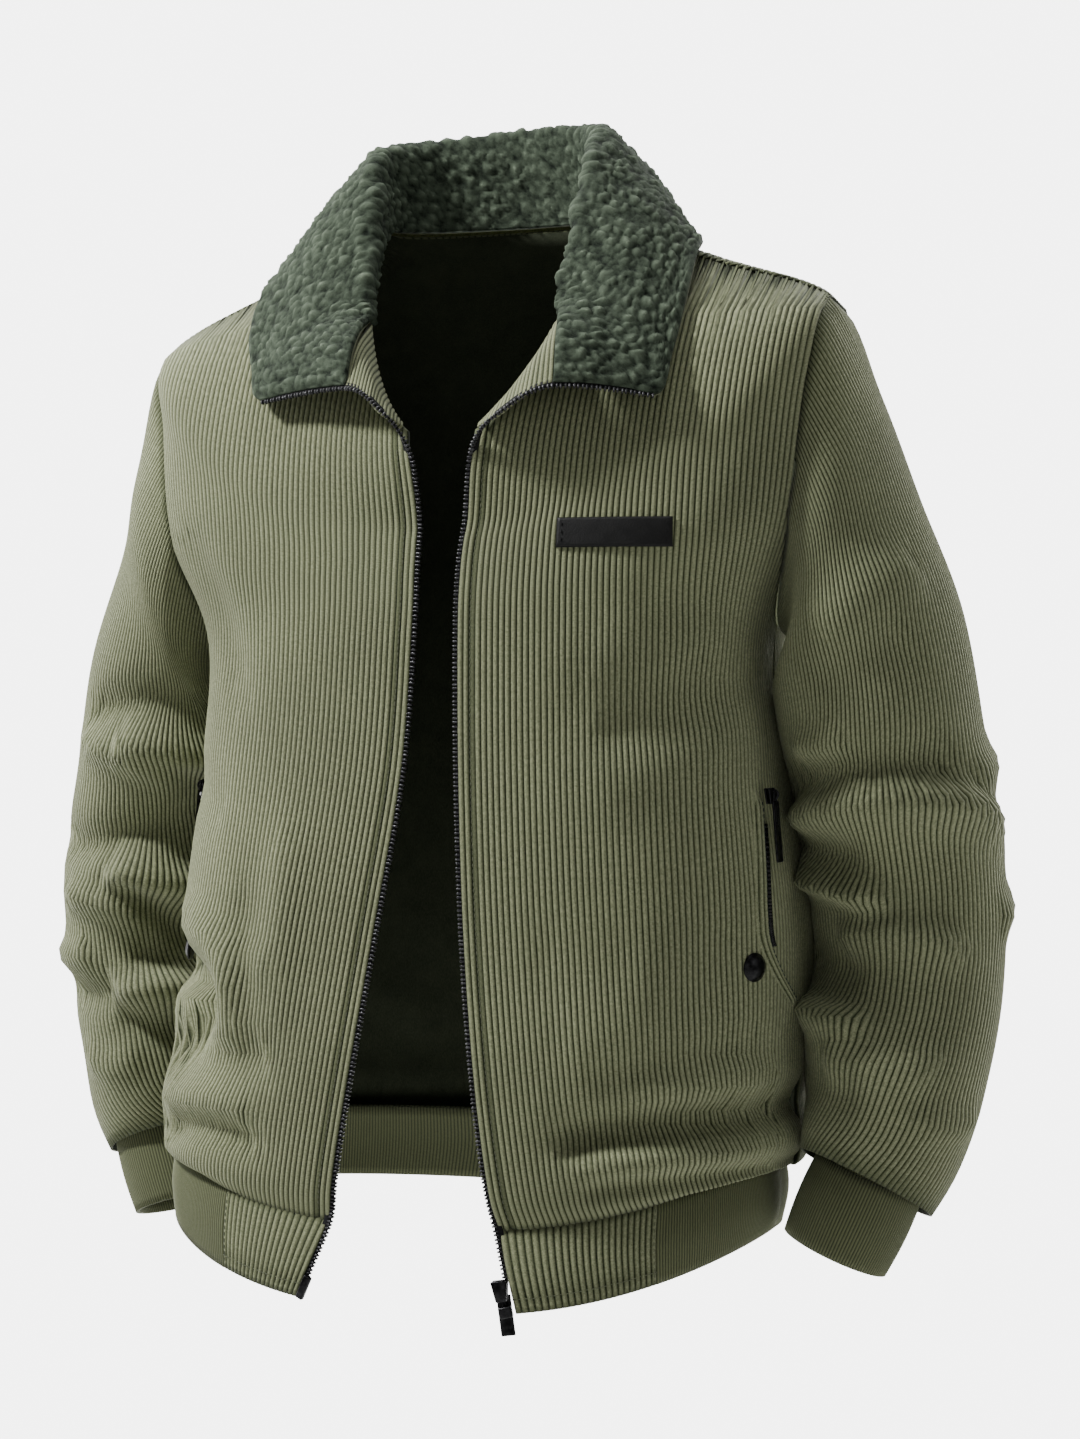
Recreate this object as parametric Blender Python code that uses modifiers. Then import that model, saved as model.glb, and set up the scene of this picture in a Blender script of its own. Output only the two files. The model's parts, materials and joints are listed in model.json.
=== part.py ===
"""Corduroy zip jacket with a fleece collar, worn open, as hollow cloth walls.

Metres, +Z up. The origin is the middle of the neck's base, +X is the wearer's left
and the front faces -Y.
"""
import math

import bmesh
import bpy
import numpy as np
from mathutils import Matrix, Vector

# Cloth
CORDUROY = 0.0022        # wall of the body and sleeves
RIB_KNIT = 0.0026        # hem band and cuffs
FLEECE = 0.0055          # pile side of the collar
UNDER_CLOTH = 0.0014     # cloth side of the collar
FACING = 0.0026          # both layers of the turned-back front corner
SEAM_GAP = 0.0003        # between two pieces at a seam
HEM_GAP = 0.0008         # under the bloused lower edge of the body

# Grids
NECK_COLUMNS = {"left": 5, "right": 5, "back": 3}     # from the start to the neck's corner
SHOULDER_COLUMNS = 5     # from the neck's corner to the shoulder tip
SCYE_COLUMNS = 4         # columns that end on the lower armhole
LOWER_ROWS = 20          # hem seam to armhole notch
UPPER_ROWS = 6           # notch to shoulder
SLEEVE_ROWS = 30
CUFF_ROWS = 3
CUFF_COLUMNS = 18
TAB_COLUMNS = 5
RIB_COLUMNS = 30
BAND_ROWS = 3
COLLAR_STATIONS = 11     # from the centre back to the collar's corner, each side
COLLAR_ROWS = 10
FACING_STATIONS = 5
FACING_ROWS = 4

# Turns round the body in degrees: 0 centre front, 90 side, 180 centre back
SIDE_TURN = 90.0
SHOULDER_TURN = 84.0     # the shoulder seam lies just forward of the ridge
FRONT_NOTCH_TURN = 65.0
BACK_NOTCH_TURN = 116.0

# Rows of the torso table
ARMPIT_ROW = 5
NOTCH_ROW = 6
TIP_ROW = 8
NECK_ROW = 10


def table(columns, rows):
    """A short table as a dictionary of named columns."""
    names = columns.split()
    return {name: np.array([float(row[index]) for row in rows]) for index, name in enumerate(names)}


# One row a level, hem seam first. The ring passes its front point, its sides and its back
# point. lean lifts the wearer's left side, sway moves the front alone, square is the
# ring's exponent and dip shapes how it drops to the front.
TORSO = table("half_width shift sway side_y side_z lean front_y front_z back_y back_z square dip", [
    (0.2050, -0.014, 0.004, 0.000, -0.577, 0.000, -0.130, -0.613, 0.118, -0.577, 2.4, 2.0),
    (0.2160, -0.011, 0.000, 0.000, -0.579, 0.000, -0.138, -0.585, 0.134, -0.581, 2.4, 2.0),
    (0.2155, -0.008, 0.000, 0.000, -0.525, 0.000, -0.142, -0.520, 0.137, -0.525, 2.4, 2.0),
    (0.2095, 0.000, 0.001, 0.000, -0.430, 0.000, -0.141, -0.430, 0.136, -0.430, 2.5, 2.0),
    (0.1965, -0.001, 0.008, 0.000, -0.330, 0.000, -0.139, -0.330, 0.134, -0.330, 2.6, 2.0),
    (0.1930, -0.002, 0.012, 0.000, -0.243, 0.003, -0.137, -0.243, 0.130, -0.243, 2.6, 2.0),
    (0.2280, 0.000, 0.012, -0.002, -0.165, 0.005, -0.133, -0.210, 0.126, -0.152, 2.5, 2.0),
    (0.2335, 0.000, 0.012, -0.003, -0.087, 0.007, -0.130, -0.192, 0.119, -0.103, 2.4, 2.0),
    (0.2310, 0.000, 0.012, -0.003, -0.041, 0.007, -0.128, -0.178, 0.110, -0.066, 2.3, 2.0),
    (0.1560, 0.002, 0.012, -0.003, -0.007, 0.002, -0.132, -0.152, 0.086, -0.012, 2.2, 1.7),
    (0.0790, 0.003, 0.012, -0.004, 0.024, 0.000, -0.137, -0.131, 0.052, 0.030, 2.0, 1.3),
])
ZIP_EDGE = table("left right", [
    (0.050, -0.062),
    (0.046, -0.057),
    (0.039, -0.044),
    (0.032, -0.027),
    (0.028, -0.009),
    (0.027, -0.003),
    (0.027, -0.003),
    (0.028, -0.003),
    (0.030, -0.003),
    (0.033, -0.005),
    (0.037, -0.008),
])
# The hem band below the seam, seam first.
HEM = table("half_width shift sway side_y side_z lean front_y front_z back_y back_z square dip", [
    (0.2050, -0.014, 0.004, 0.000, -0.577, 0.000, -0.130, -0.613, 0.118, -0.577, 2.4, 2.0),
    (0.2075, -0.014, 0.004, 0.000, -0.600, 0.000, -0.134, -0.638, 0.121, -0.600, 2.4, 2.0),
    (0.2050, -0.015, 0.004, 0.000, -0.623, 0.000, -0.134, -0.665, 0.119, -0.624, 2.4, 2.0),
])
HEM_ZIP = table("left right", [
    (0.050, -0.062),
    (0.056, -0.073),
    (0.062, -0.085),
])
TAB_WIDTH = {"left": 0.088, "right": 0.070}

# Sleeve rings from below the shoulder to the cuff seam. across and along are the half
# sizes sideways and front to back; tilt lifts the outer side of the ring.
SLEEVE = {
    "left": table("x y z across along tilt", [
        (0.2320, 0.000, -0.180, 0.086, 0.074, 73),
        (0.2370, 0.002, -0.220, 0.073, 0.073, 53),
        (0.2495, 0.006, -0.262, 0.064, 0.073, 25),
        (0.2580, 0.022, -0.330, 0.0625, 0.069, 6),
        (0.2655, 0.041, -0.400, 0.0620, 0.067, 0),
        (0.2660, 0.038, -0.470, 0.0610, 0.065, -2),
        (0.2620, 0.018, -0.525, 0.0575, 0.060, -9),
        (0.2575, 0.008, -0.562, 0.051, 0.056, -17),
        (0.2495, -0.002, -0.591, 0.0445, 0.047, -23),
    ]),
    "right": table("x y z across along tilt", [
        (0.2290, 0.010, -0.188, 0.084, 0.070, 72),
        (0.2350, 0.020, -0.231, 0.074, 0.068, 58),
        (0.2515, 0.030, -0.277, 0.064, 0.067, 30),
        (0.2669, 0.045, -0.335, 0.062, 0.066, 8),
        (0.2849, 0.058, -0.400, 0.061, 0.066, 2),
        (0.2857, 0.062, -0.470, 0.059, 0.063, -2),
        (0.2760, 0.058, -0.530, 0.056, 0.060, -8),
        (0.2710, 0.053, -0.567, 0.052, 0.056, -14),
        (0.2680, 0.048, -0.595, 0.042, 0.044, -20),
    ]),
}
SLEEVE_CLEARANCE = 0.0022     # between a sleeve and the body beside it
ARMHOLE_FADE = 0.04           # part of the sleeve over which the clearance grows
ARMHOLE_GAP = 0.0007
TIP_SLOPE = (0.72, -0.80)     # way the sleeve leaves the armhole, sideways and up
PIT_SLOPE = (0.75, -0.66)
CUFF_END = {"left": (0.2307, -0.007, -0.6345), "right": (0.2500, 0.040, -0.640)}
CUFF_RADIUS = 0.0355
CUFF_TILT = {"left": -23.0, "right": -18.0}
CUFF_OVERLAP = 0.007     # how far the cuff reaches up inside the sleeve end

# Collar from the centre back to the front corner, for each half. crest is the fold line,
# edge is the free edge; the last three rows run along the zip, tip first.
COLLAR = {
    "left": table("turn crest_x crest_y crest_z edge_x edge_y edge_z", [
        (180, 0.000, 0.058, 0.094, 0.000, 0.091, 0.010),
        (140, 0.047, 0.045, 0.093, 0.080, 0.076, 0.006),
        (112, 0.070, 0.012, 0.083, 0.121, 0.036, -0.002),
        (90, 0.077, -0.028, 0.048, 0.142, -0.016, -0.012),
        (72, 0.078, -0.058, 0.008, 0.150, -0.068, -0.058),
        (63, 0.076, -0.076, -0.026, 0.149, -0.112, -0.104),
    ]),
    "right": table("turn crest_x crest_y crest_z edge_x edge_y edge_z", [
        (180, 0.000, 0.058, 0.094, 0.000, 0.091, 0.010),
        (140, 0.055, 0.047, 0.091, 0.086, 0.076, 0.004),
        (112, 0.087, 0.012, 0.083, 0.138, 0.032, -0.006),
        (90, 0.082, -0.020, 0.052, 0.147, -0.020, -0.018),
        (72, 0.071, -0.048, 0.008, 0.142, -0.066, -0.058),
        (63, 0.063, -0.073, -0.030, 0.120, -0.108, -0.097),
    ]),
}
SEAM_TURN = 55.0                         # neck seam on the fold line
SEAM_ON_ZIP = {"left": (0.089, -0.138, -0.098), "right": (-0.046, -0.138, -0.094)}
BREAK_BEND = {"left": (0.056, -0.146, -0.117), "right": (-0.020, -0.146, -0.112)}
FACING_GAP = 0.0022
FACING_SHARE = 0.93                      # of the neck edge that the facing follows
FACING_LIFT = 0.0010                     # facing over the front's neck edge
NECK_LIFT = 0.0024                       # collar's foot over the same edge
CAST_HEIGHT = 0.03                       # from which trims are dropped on the front
FOLD_RADIUS = 0.005
FALL_BULGE = 0.010
COLLAR_CLEARANCE = 0.0042                # middle face of the collar above the shoulders
FALL_ROW = 5                             # first row of the collar beyond its fold line
SEAM_LIFT = 0.006                        # fold line over the neck seam at the front corner
SEAM_SHARES = (0.34, 0.67, 1.0)          # collar sections from the tip to the seam
CORNER_STEPS = 60                        # on the zip's line round the front corner

# Zips
TAPE_STATIONS = 40
TAPE_WIDTH = 0.0045      # tape and chain that show beyond the cloth's edge
TAPE_THICKNESS = 0.0016
SLIDER_SIZE = (0.0095, 0.0075, 0.0130)
STOP_SIZE = (0.0085, 0.0045, 0.0070)     # retainer box below the slider
PIN_SIZE = (0.0050, 0.0035, 0.0160)      # pin end on the other side
SLIDER_LEVEL = 1.45      # on the hem band, 0 at the seam and 2 at the lower edge
STOP_LEVEL = 1.93
PIN_LEVEL = 1.72
SLIDER_SWING = -5.0      # degrees, the slider leans to hang its pull straight down
EDGE_CLEARANCE = 0.0010  # from the hardware to the cloth's edge
HINGE_RADIUS = 0.0011
LUG_SIZE = (0.0015, 0.0054, 0.0050)
LUG_GAP = 0.0040         # between the two lugs that hold the pull's pin
LUG_SINK = 0.0006        # how far the lugs reach into the slider
EYE_WALL = 0.0010
NECK_LENGTH = 0.0046     # from the pin to the wide part of the pull
PULL_SIZE = (0.0090, 0.0016, 0.0270)
EYE_CLEARANCE = 0.0004
SLIDER_SKIP = 0.0240     # length of the left edge taken by the retainer and the slider
PIN_SKIP = 0.0165        # length of the right edge taken by the pin

# Pockets: the slit as turns and levels on the body, top first
POCKET_SLIT = table("turn level", [
    (74.6, 3.86),
    (72.4, 3.45),
    (71.0, 3.12),
    (72.0, 2.92),
    (77.0, 2.72),
    (86.0, 2.50),
])
POCKET_SHIFT = {"left": 0.0, "right": 12.0}   # the worn jacket is turned a little on the body
POCKET_END = {"left": 1.0, "right": 0.70}     # share of the slit before the side seam
WELT_WIDTH = 0.011
WELT_THICKNESS = 0.0016
WELT_LIFT = 0.0007       # clear of the panel beneath
POCKET_TAPE_WIDTH = 0.0050
POCKET_TAPE_SHARE = (0.10, 0.62)              # stretch of the slit that shows the tape
POCKET_SLIDER_SIZE = (0.0070, 0.0044, 0.0100)
POCKET_SLIDER_LIFT = 0.0051
POCKET_SLIDER_SHARE = (0.02, 0.30)            # stretch of the slit that the slider lies along
POCKET_SWING = 7.0       # degrees, the pull hangs a little behind the slit
POCKET_PULL_SIZE = (0.0072, 0.0015, 0.0400)
SNAP_TURN = 66.1
SNAP_LEVEL = 2.78
SNAP_RADIUS = 0.0089
SNAP_HEIGHT = 0.0048
SNAP_STEPS = 16

# Leather patch on the wearer's left chest, as x and z on the front
PATCH_CENTRE = (0.1225, -0.187)
PATCH_SIZE = (0.069, 0.0180)
PATCH_THICKNESS = 0.0018

SIGN = {"left": 1.0, "right": -1.0}


# ---------------------------------------------------------------- curves and surfaces

def read(columns, name, place):
    """A column's value at fractional row numbers, on a smooth curve through its rows."""
    values = columns[name]
    place = np.clip(np.asarray(place, float), 0.0, len(values) - 1.0)
    row = np.minimum(place.astype(int), len(values) - 2)
    step = place - row
    ends = [2 * values[0] - values[1]], [2 * values[-1] - values[-2]]
    padded = np.concatenate([ends[0], values, ends[1]])
    before, here, there, after = (padded[row + k] for k in range(4))
    slope = (there - before) * step
    bend = (2 * before - 5 * here + 4 * there - after) * step ** 2
    twist = (3 * here - before - 3 * there + after) * step ** 3
    return 0.5 * (2 * here + slope + bend + twist)


def smooth_curve(corners, count):
    """Evenly spaced points on a smooth curve through a few corners."""
    corners = np.asarray(corners, float)
    names = ("x", "y", "z")
    columns = {name: corners[:, axis] for axis, name in enumerate(names)}
    fine = np.linspace(0, len(corners) - 1, 40 * (len(corners) - 1) + 1)
    points = np.stack([read(columns, name, fine) for name in names], axis=-1)
    return resample(points, count)


def resample(points, count):
    """Points spaced evenly along a polyline."""
    lengths = np.linalg.norm(np.diff(points, axis=0), axis=1)
    along = np.concatenate([[0.0], np.cumsum(lengths)])
    wanted = np.linspace(0.0, along[-1], count)
    return np.stack([np.interp(wanted, along, points[:, axis]) for axis in range(3)], axis=-1)


def unit(vectors):
    return vectors / np.maximum(np.linalg.norm(vectors, axis=-1, keepdims=True), 1e-12)


def ease(value):
    value = np.clip(value, 0.0, 1.0)
    return value * value * (3 - 2 * value)


def ring(columns, turn, level):
    """Point of a body ring. turn is in degrees, positive to the wearer's left."""
    turn = np.radians(turn)
    sine = np.sin(turn)
    cosine = np.cos(turn)
    power = 2.0 / read(columns, "square", level)
    across = np.sign(sine) * np.abs(sine) ** power
    along = np.abs(cosine) ** power
    drop = np.abs(cosine) ** read(columns, "dip", level)
    front = cosine > 0
    side_y = read(columns, "side_y", level)
    side_z = read(columns, "side_z", level)
    end_y = np.where(front, read(columns, "front_y", level), read(columns, "back_y", level))
    end_z = np.where(front, read(columns, "front_z", level), read(columns, "back_z", level))
    sway = np.where(front, read(columns, "sway", level) * along, 0.0)
    x = read(columns, "shift", level) + sway + read(columns, "half_width", level) * across
    y = side_y + (end_y - side_y) * along
    z = side_z + read(columns, "lean", level) * across + (end_z - side_z) * drop
    return np.stack(np.broadcast_arrays(x, y, z), axis=-1)


def outward(columns, turn, level):
    """Unit normal of the body's surface, pointing away from the wearer."""
    small_turn, small_level = 0.5, 0.02
    top = len(columns["shift"]) - 1.0
    high = np.minimum(level + small_level, top)
    low = np.maximum(level - small_level, 0.0)
    around = ring(columns, turn + small_turn, level) - ring(columns, turn - small_turn, level)
    upward = ring(columns, turn, high) - ring(columns, turn, low)
    return unit(np.cross(around, upward))


# ---------------------------------------------------------------- folds in the cloth

# Soft ridges (height above 0) and troughs on the fronts and back. Each lies on a path
# through three points given as x and z, and has a width above and below the path.
BODY_FOLDS = {
    "left": table("x0 z0 x1 z1 x2 z2 above below height", [
        (0.085, -0.560, 0.135, -0.549, 0.215, -0.542, 0.015, 0.012, -0.016),
        (0.095, -0.575, 0.150, -0.566, 0.210, -0.562, 0.012, 0.012, 0.006),
        (0.130, -0.525, 0.165, -0.522, 0.205, -0.520, 0.018, 0.014, 0.005),
        (0.070, -0.445, 0.105, -0.447, 0.140, -0.450, 0.026, 0.022, -0.003),
        (0.090, -0.270, 0.130, -0.305, 0.170, -0.330, 0.030, 0.028, -0.003),
    ]),
    "right": table("x0 z0 x1 z1 x2 z2 above below height", [
        (-0.240, -0.472, -0.190, -0.480, -0.150, -0.487, 0.022, 0.026, -0.021),
        (-0.195, -0.430, -0.148, -0.447, -0.135, -0.500, 0.018, 0.018, 0.005),
        (-0.205, -0.170, -0.150, -0.220, -0.110, -0.310, 0.018, 0.020, -0.004),
        (-0.210, -0.580, -0.160, -0.563, -0.110, -0.572, 0.016, 0.012, -0.007),
        (-0.095, -0.360, -0.093, -0.420, -0.100, -0.490, 0.018, 0.018, 0.004),
    ]),
    "back": table("x0 z0 x1 z1 x2 z2 above below height", [
        (-0.215, -0.545, -0.130, -0.560, -0.040, -0.550, 0.018, 0.014, -0.010),
        (0.215, -0.540, 0.130, -0.556, 0.060, -0.560, 0.018, 0.014, -0.010),
        (-0.190, -0.215, -0.140, -0.260, -0.115, -0.350, 0.022, 0.022, -0.006),
        (0.190, -0.215, 0.135, -0.250, 0.105, -0.340, 0.022, 0.022, -0.006),
        (-0.090, -0.480, 0.000, -0.495, 0.090, -0.475, 0.028, 0.022, 0.005),
    ]),
}
# The same on the sleeves: round is degrees from the outer side towards the front.
SLEEVE_FOLDS = {
    "left": table("round0 z0 round1 z1 round2 z2 above below height", [
        (165, -0.376, 82, -0.341, 0, -0.366, 0.011, 0.022, -0.013),
        (150, -0.345, 100, -0.325, 55, -0.318, 0.016, 0.012, 0.005),
        (178, -0.362, 135, -0.371, 108, -0.388, 0.014, 0.012, 0.007),
        (178, -0.392, 130, -0.396, 88, -0.411, 0.012, 0.013, -0.017),
        (178, -0.440, 125, -0.425, 75, -0.417, 0.016, 0.012, 0.006),
        (122, -0.440, 88, -0.433, 35, -0.446, 0.012, 0.018, -0.008),
        (178, -0.478, 132, -0.484, 98, -0.488, 0.012, 0.012, -0.015),
        (124, -0.504, 92, -0.512, 45, -0.511, 0.012, 0.018, -0.007),
        (178, -0.528, 130, -0.524, 90, -0.532, 0.018, 0.018, 0.004),
        (40, -0.205, 72, -0.238, 135, -0.290, 0.024, 0.024, -0.006),
        (-45, -0.402, -15, -0.410, 12, -0.425, 0.014, 0.014, -0.006),
        (200, -0.330, 235, -0.350, 290, -0.360, 0.018, 0.018, -0.008),
        (190, -0.440, 240, -0.450, 310, -0.430, 0.017, 0.017, -0.008),
    ]),
    "right": table("round0 z0 round1 z1 round2 z2 above below height", [
        (84, -0.311, 128, -0.317, 178, -0.326, 0.013, 0.018, -0.020),
        (45, -0.297, 95, -0.288, 160, -0.286, 0.014, 0.010, 0.007),
        (42, -0.311, 92, -0.327, 128, -0.346, 0.009, 0.013, -0.006),
        (35, -0.386, 88, -0.384, 145, -0.360, 0.016, 0.010, 0.008),
        (88, -0.400, 130, -0.409, 178, -0.416, 0.018, 0.020, -0.021),
        (98, -0.409, 120, -0.430, 148, -0.458, 0.011, 0.011, 0.007),
        (45, -0.420, 88, -0.428, 114, -0.442, 0.010, 0.013, -0.007),
        (38, -0.484, 80, -0.488, 125, -0.448, 0.013, 0.012, 0.007),
        (86, -0.480, 128, -0.486, 178, -0.485, 0.016, 0.018, -0.020),
        (86, -0.498, 112, -0.509, 150, -0.512, 0.012, 0.014, 0.006),
        (38, -0.445, 50, -0.452, 60, -0.470, 0.015, 0.015, -0.006),
        (200, -0.335, 235, -0.352, 290, -0.362, 0.018, 0.018, -0.008),
        (190, -0.445, 240, -0.455, 310, -0.435, 0.017, 0.017, -0.008),
    ]),
}
ARM_RADIUS = 0.062       # turns degrees round a sleeve into metres for its folds


def fold_height(across, upward, folds):
    """Sum of soft ridges and troughs in one flat pair of coordinates."""
    total = np.zeros(np.shape(across))
    steps = np.linspace(0.0, 1.0, 25)
    for start_x, start_y, middle_x, middle_y, end_x, end_y, above, below, height in zip(*folds.values()):
        pull_x = 2 * middle_x - 0.5 * (start_x + end_x)
        pull_y = 2 * middle_y - 0.5 * (start_y + end_y)
        weights = (1 - steps) ** 2, 2 * steps * (1 - steps), steps ** 2
        path_x = weights[0] * start_x + weights[1] * pull_x + weights[2] * end_x
        path_y = weights[0] * start_y + weights[1] * pull_y + weights[2] * end_y
        gap_x = across[..., None] - path_x
        gap_y = upward[..., None] - path_y
        square = gap_x ** 2 + gap_y ** 2
        nearest = np.argmin(square, axis=-1)
        distance = np.sqrt(np.min(square, axis=-1)) + 1e-9
        height_over = np.take_along_axis(gap_y, nearest[..., None], axis=-1)[..., 0]
        width = below + (above - below) * ease(0.5 + 0.5 * height_over / distance)
        ends = ease(np.minimum(steps, 1 - steps) * 3.0 + 0.25)[nearest]
        total += height * ends * np.exp(-(distance / width) ** 2)
    return total


def clear_of(points, samples, clearance):
    """Moves points out along the normals of a sampled surface until they clear it."""
    result = points.reshape(-1, 3).copy()
    gaps = np.broadcast_to(clearance, points.shape[:-1]).reshape(-1)
    for first in range(0, len(result), 400):
        here = result[first:first + 400]
        distance = np.linalg.norm(here[:, None] - samples[None, :, :3], axis=-1)
        nearest = samples[np.argmin(distance, axis=1)]
        height = np.sum((here - nearest[:, :3]) * nearest[:, 3:], axis=-1)
        shift = np.maximum(gaps[first:first + 400] - height, 0.0)
        near = ease((0.035 - np.min(distance, axis=1)) / 0.010)
        result[first:first + 400] += nearest[:, 3:] * (shift * near)[:, None]
    return result.reshape(points.shape)


def body(piece, turn, level):
    """Outer face of the body's cloth with its folds."""
    points = ring(TORSO, turn, level)
    lift = fold_height(points[..., 0], points[..., 2], BODY_FOLDS[piece])
    fade = ease((level - 0.15) / 0.9)
    return points + outward(TORSO, turn, level) * (lift * fade)[..., None]


# ---------------------------------------------------------------- the cut of front and back

class Panel:
    """One half of the front or back: columns follow the wales, rows run up the body."""

    def __init__(self, piece, side):
        self.piece = piece
        self.side = side
        self.sign = SIGN[side]
        self.front = piece != "back"
        self.notch = FRONT_NOTCH_TURN if self.front else BACK_NOTCH_TURN
        self.levels = np.linspace(0.0, NECK_ROW, 181)
        self.turns, self.girth = self.measure()
        self.width = self.at_turn(ARMPIT_ROW, SIDE_TURN)
        self.notch_column = self.at_turn(NOTCH_ROW, self.notch) / self.width
        tip = self.at_turn(TIP_ROW, SHOULDER_TURN)
        self.stretch = tip / (self.notch_column * self.width)

    def start_turn(self, level):
        """Turn of the zip edge, or of the centre back."""
        if not self.front:
            return np.full(np.shape(level), 180.0)
        edge = read(ZIP_EDGE, self.side, level) * self.sign
        middle = (read(TORSO, "shift", level) + read(TORSO, "sway", level)) * self.sign
        across = (edge - middle) / read(TORSO, "half_width", level)
        power = read(TORSO, "square", level) / 2.0
        return np.degrees(np.arcsin(np.sign(across) * np.abs(across) ** power))

    def measure(self):
        """Distance along the cloth from the start for a fan of turns at every level."""
        start = self.start_turn(self.levels)
        stop = SIDE_TURN + 14.0 if self.front else SIDE_TURN - 14.0
        fan = np.linspace(0.0, 1.0, 241)
        turns = start[:, None] + (stop - start[:, None]) * fan
        points = ring(TORSO, turns * self.sign, np.broadcast_to(self.levels[:, None], turns.shape))
        step = np.diff(points, axis=1)
        depth = 1.0 - ease((self.levels - ARMPIT_ROW) / (TIP_ROW - ARMPIT_ROW))
        length = np.sqrt(step[..., 0] ** 2 + depth[:, None] * step[..., 1] ** 2)
        girth = np.concatenate([np.zeros((len(start), 1)), np.cumsum(length, axis=1)], axis=1)
        return turns, girth

    def at_turn(self, level, turn):
        row = int(round(float(level) / NECK_ROW * (len(self.levels) - 1)))
        order = np.argsort(self.turns[row])
        return float(np.interp(turn, self.turns[row][order], self.girth[row][order]))

    def turn(self, column, level):
        """Turn of the wale that starts at a share of the panel's width, at a level."""
        side_girth = np.array([self.at_turn(value, SIDE_TURN) for value in self.levels])
        girth = np.interp(level, self.levels, side_girth)
        plain = column * self.width
        below = plain + (girth - self.width) * column ** 2
        rise = ease((level - NOTCH_ROW) / (TIP_ROW - NOTCH_ROW))
        above = plain * (1.0 + (self.stretch - 1.0) * rise)
        wanted = np.where(level < ARMPIT_ROW, below, above)
        place = np.clip(level / NECK_ROW * (len(self.levels) - 1), 0, len(self.levels) - 1.000001)
        lower = place.astype(int)
        share = place - lower
        result = np.zeros(np.shape(place))
        for row in np.unique(lower):
            here = lower == row
            low = np.interp(wanted[here], self.girth[row], self.turns[row])
            high = np.interp(wanted[here], self.girth[row + 1], self.turns[row + 1])
            result[here] = low + (high - low) * share[here]
        return result

    def top_level(self, column):
        """Level at which a column meets the neck line or the shoulder seam."""
        rows = np.arange(len(self.levels))[self.levels >= TIP_ROW]
        seam = np.array([self.at_turn(self.levels[row], SHOULDER_TURN) for row in rows])
        wanted = column * self.width * self.stretch
        return np.interp(wanted, seam[::-1], self.levels[rows][::-1])

    def scye_level(self, column):
        """Level at which a column meets the lower armhole."""
        share = np.clip((1.0 - column) / (1.0 - self.notch_column), 0.0, 1.0)
        return ARMPIT_ROW + (NOTCH_ROW - ARMPIT_ROW) * (1.0 - (1.0 - share ** 1.6) ** 0.625)

    def columns(self):
        """Shares of the width: neck, shoulder seam to the armhole notch, lower armhole."""
        levels = np.linspace(NECK_ROW, TIP_ROW, SHOULDER_COLUMNS + 1)
        seam = np.array([self.at_turn(level, SHOULDER_TURN) for level in levels])
        shoulder = seam / (self.width * self.stretch)
        neck = np.linspace(0.0, shoulder[0], NECK_COLUMNS[self.piece] + 1)
        bend = 1.0 - np.linspace(1.0, 0.0, SCYE_COLUMNS + 1) ** 1.4
        lower = self.notch_column + (1.0 - self.notch_column) * bend
        return np.concatenate([neck, shoulder[1:-1], lower])

    def grid(self):
        """Turn and level of every grid point; past the notch the upper rows are absent."""
        column = self.columns()
        below = np.minimum(NOTCH_ROW, self.scye_level(column))
        top = self.top_level(column)
        lower = np.linspace(0.0, 1.0, LOWER_ROWS + 1)[:, None] * below[None, :]
        share = np.linspace(0.0, 1.0, UPPER_ROWS + 1)[1:, None]
        upper = NOTCH_ROW + (top - NOTCH_ROW)[None, :] * share
        level = np.concatenate([lower, upper])
        turn = self.turn(np.broadcast_to(column, level.shape), level)
        absent = np.zeros(level.shape, bool)
        absent[LOWER_ROWS + 1:, len(column) - SCYE_COLUMNS:] = True
        return turn * self.sign, level, absent

    def armhole(self):
        """Armhole points from the shoulder tip down to the armpit."""
        turn, level, _ = self.grid()
        points = body(self.piece, turn, level)
        notch = turn.shape[1] - 1 - SCYE_COLUMNS
        down = points[LOWER_ROWS:, notch][::-1]
        under = points[LOWER_ROWS, notch + 1:]
        return np.concatenate([down, under])

    def samples(self):
        """Points of the cloth with their normals, for laying other pieces clear of it."""
        share, below = np.meshgrid(np.linspace(0.0, 1.0, 61), np.linspace(0.0, 1.0, 91))
        level = below * np.minimum(NOTCH_ROW, self.scye_level(share))
        turn = self.turn(share, level) * self.sign
        points = body(self.piece, turn, level)
        return np.concatenate([points, outward(TORSO, turn, level)], axis=-1).reshape(-1, 6)


# ---------------------------------------------------------------- objects

def material(name, colour, roughness, metallic=0.0):
    made = bpy.data.materials.new(name)
    made.use_nodes = True
    shader = made.node_tree.nodes["Principled BSDF"]
    shader.inputs["Base Color"].default_value = (*colour, 1.0)
    shader.inputs["Roughness"].default_value = roughness
    shader.inputs["Metallic"].default_value = metallic
    made.diffuse_color = (*colour, 1.0)
    return made


def place(thing, name, paint):
    thing.name = name
    thing.data.name = name
    thing.data.materials.clear()
    thing.data.materials.append(paint)
    for collection in list(thing.users_collection):
        collection.objects.unlink(thing)
    JACKET.objects.link(thing)
    return thing


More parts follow.
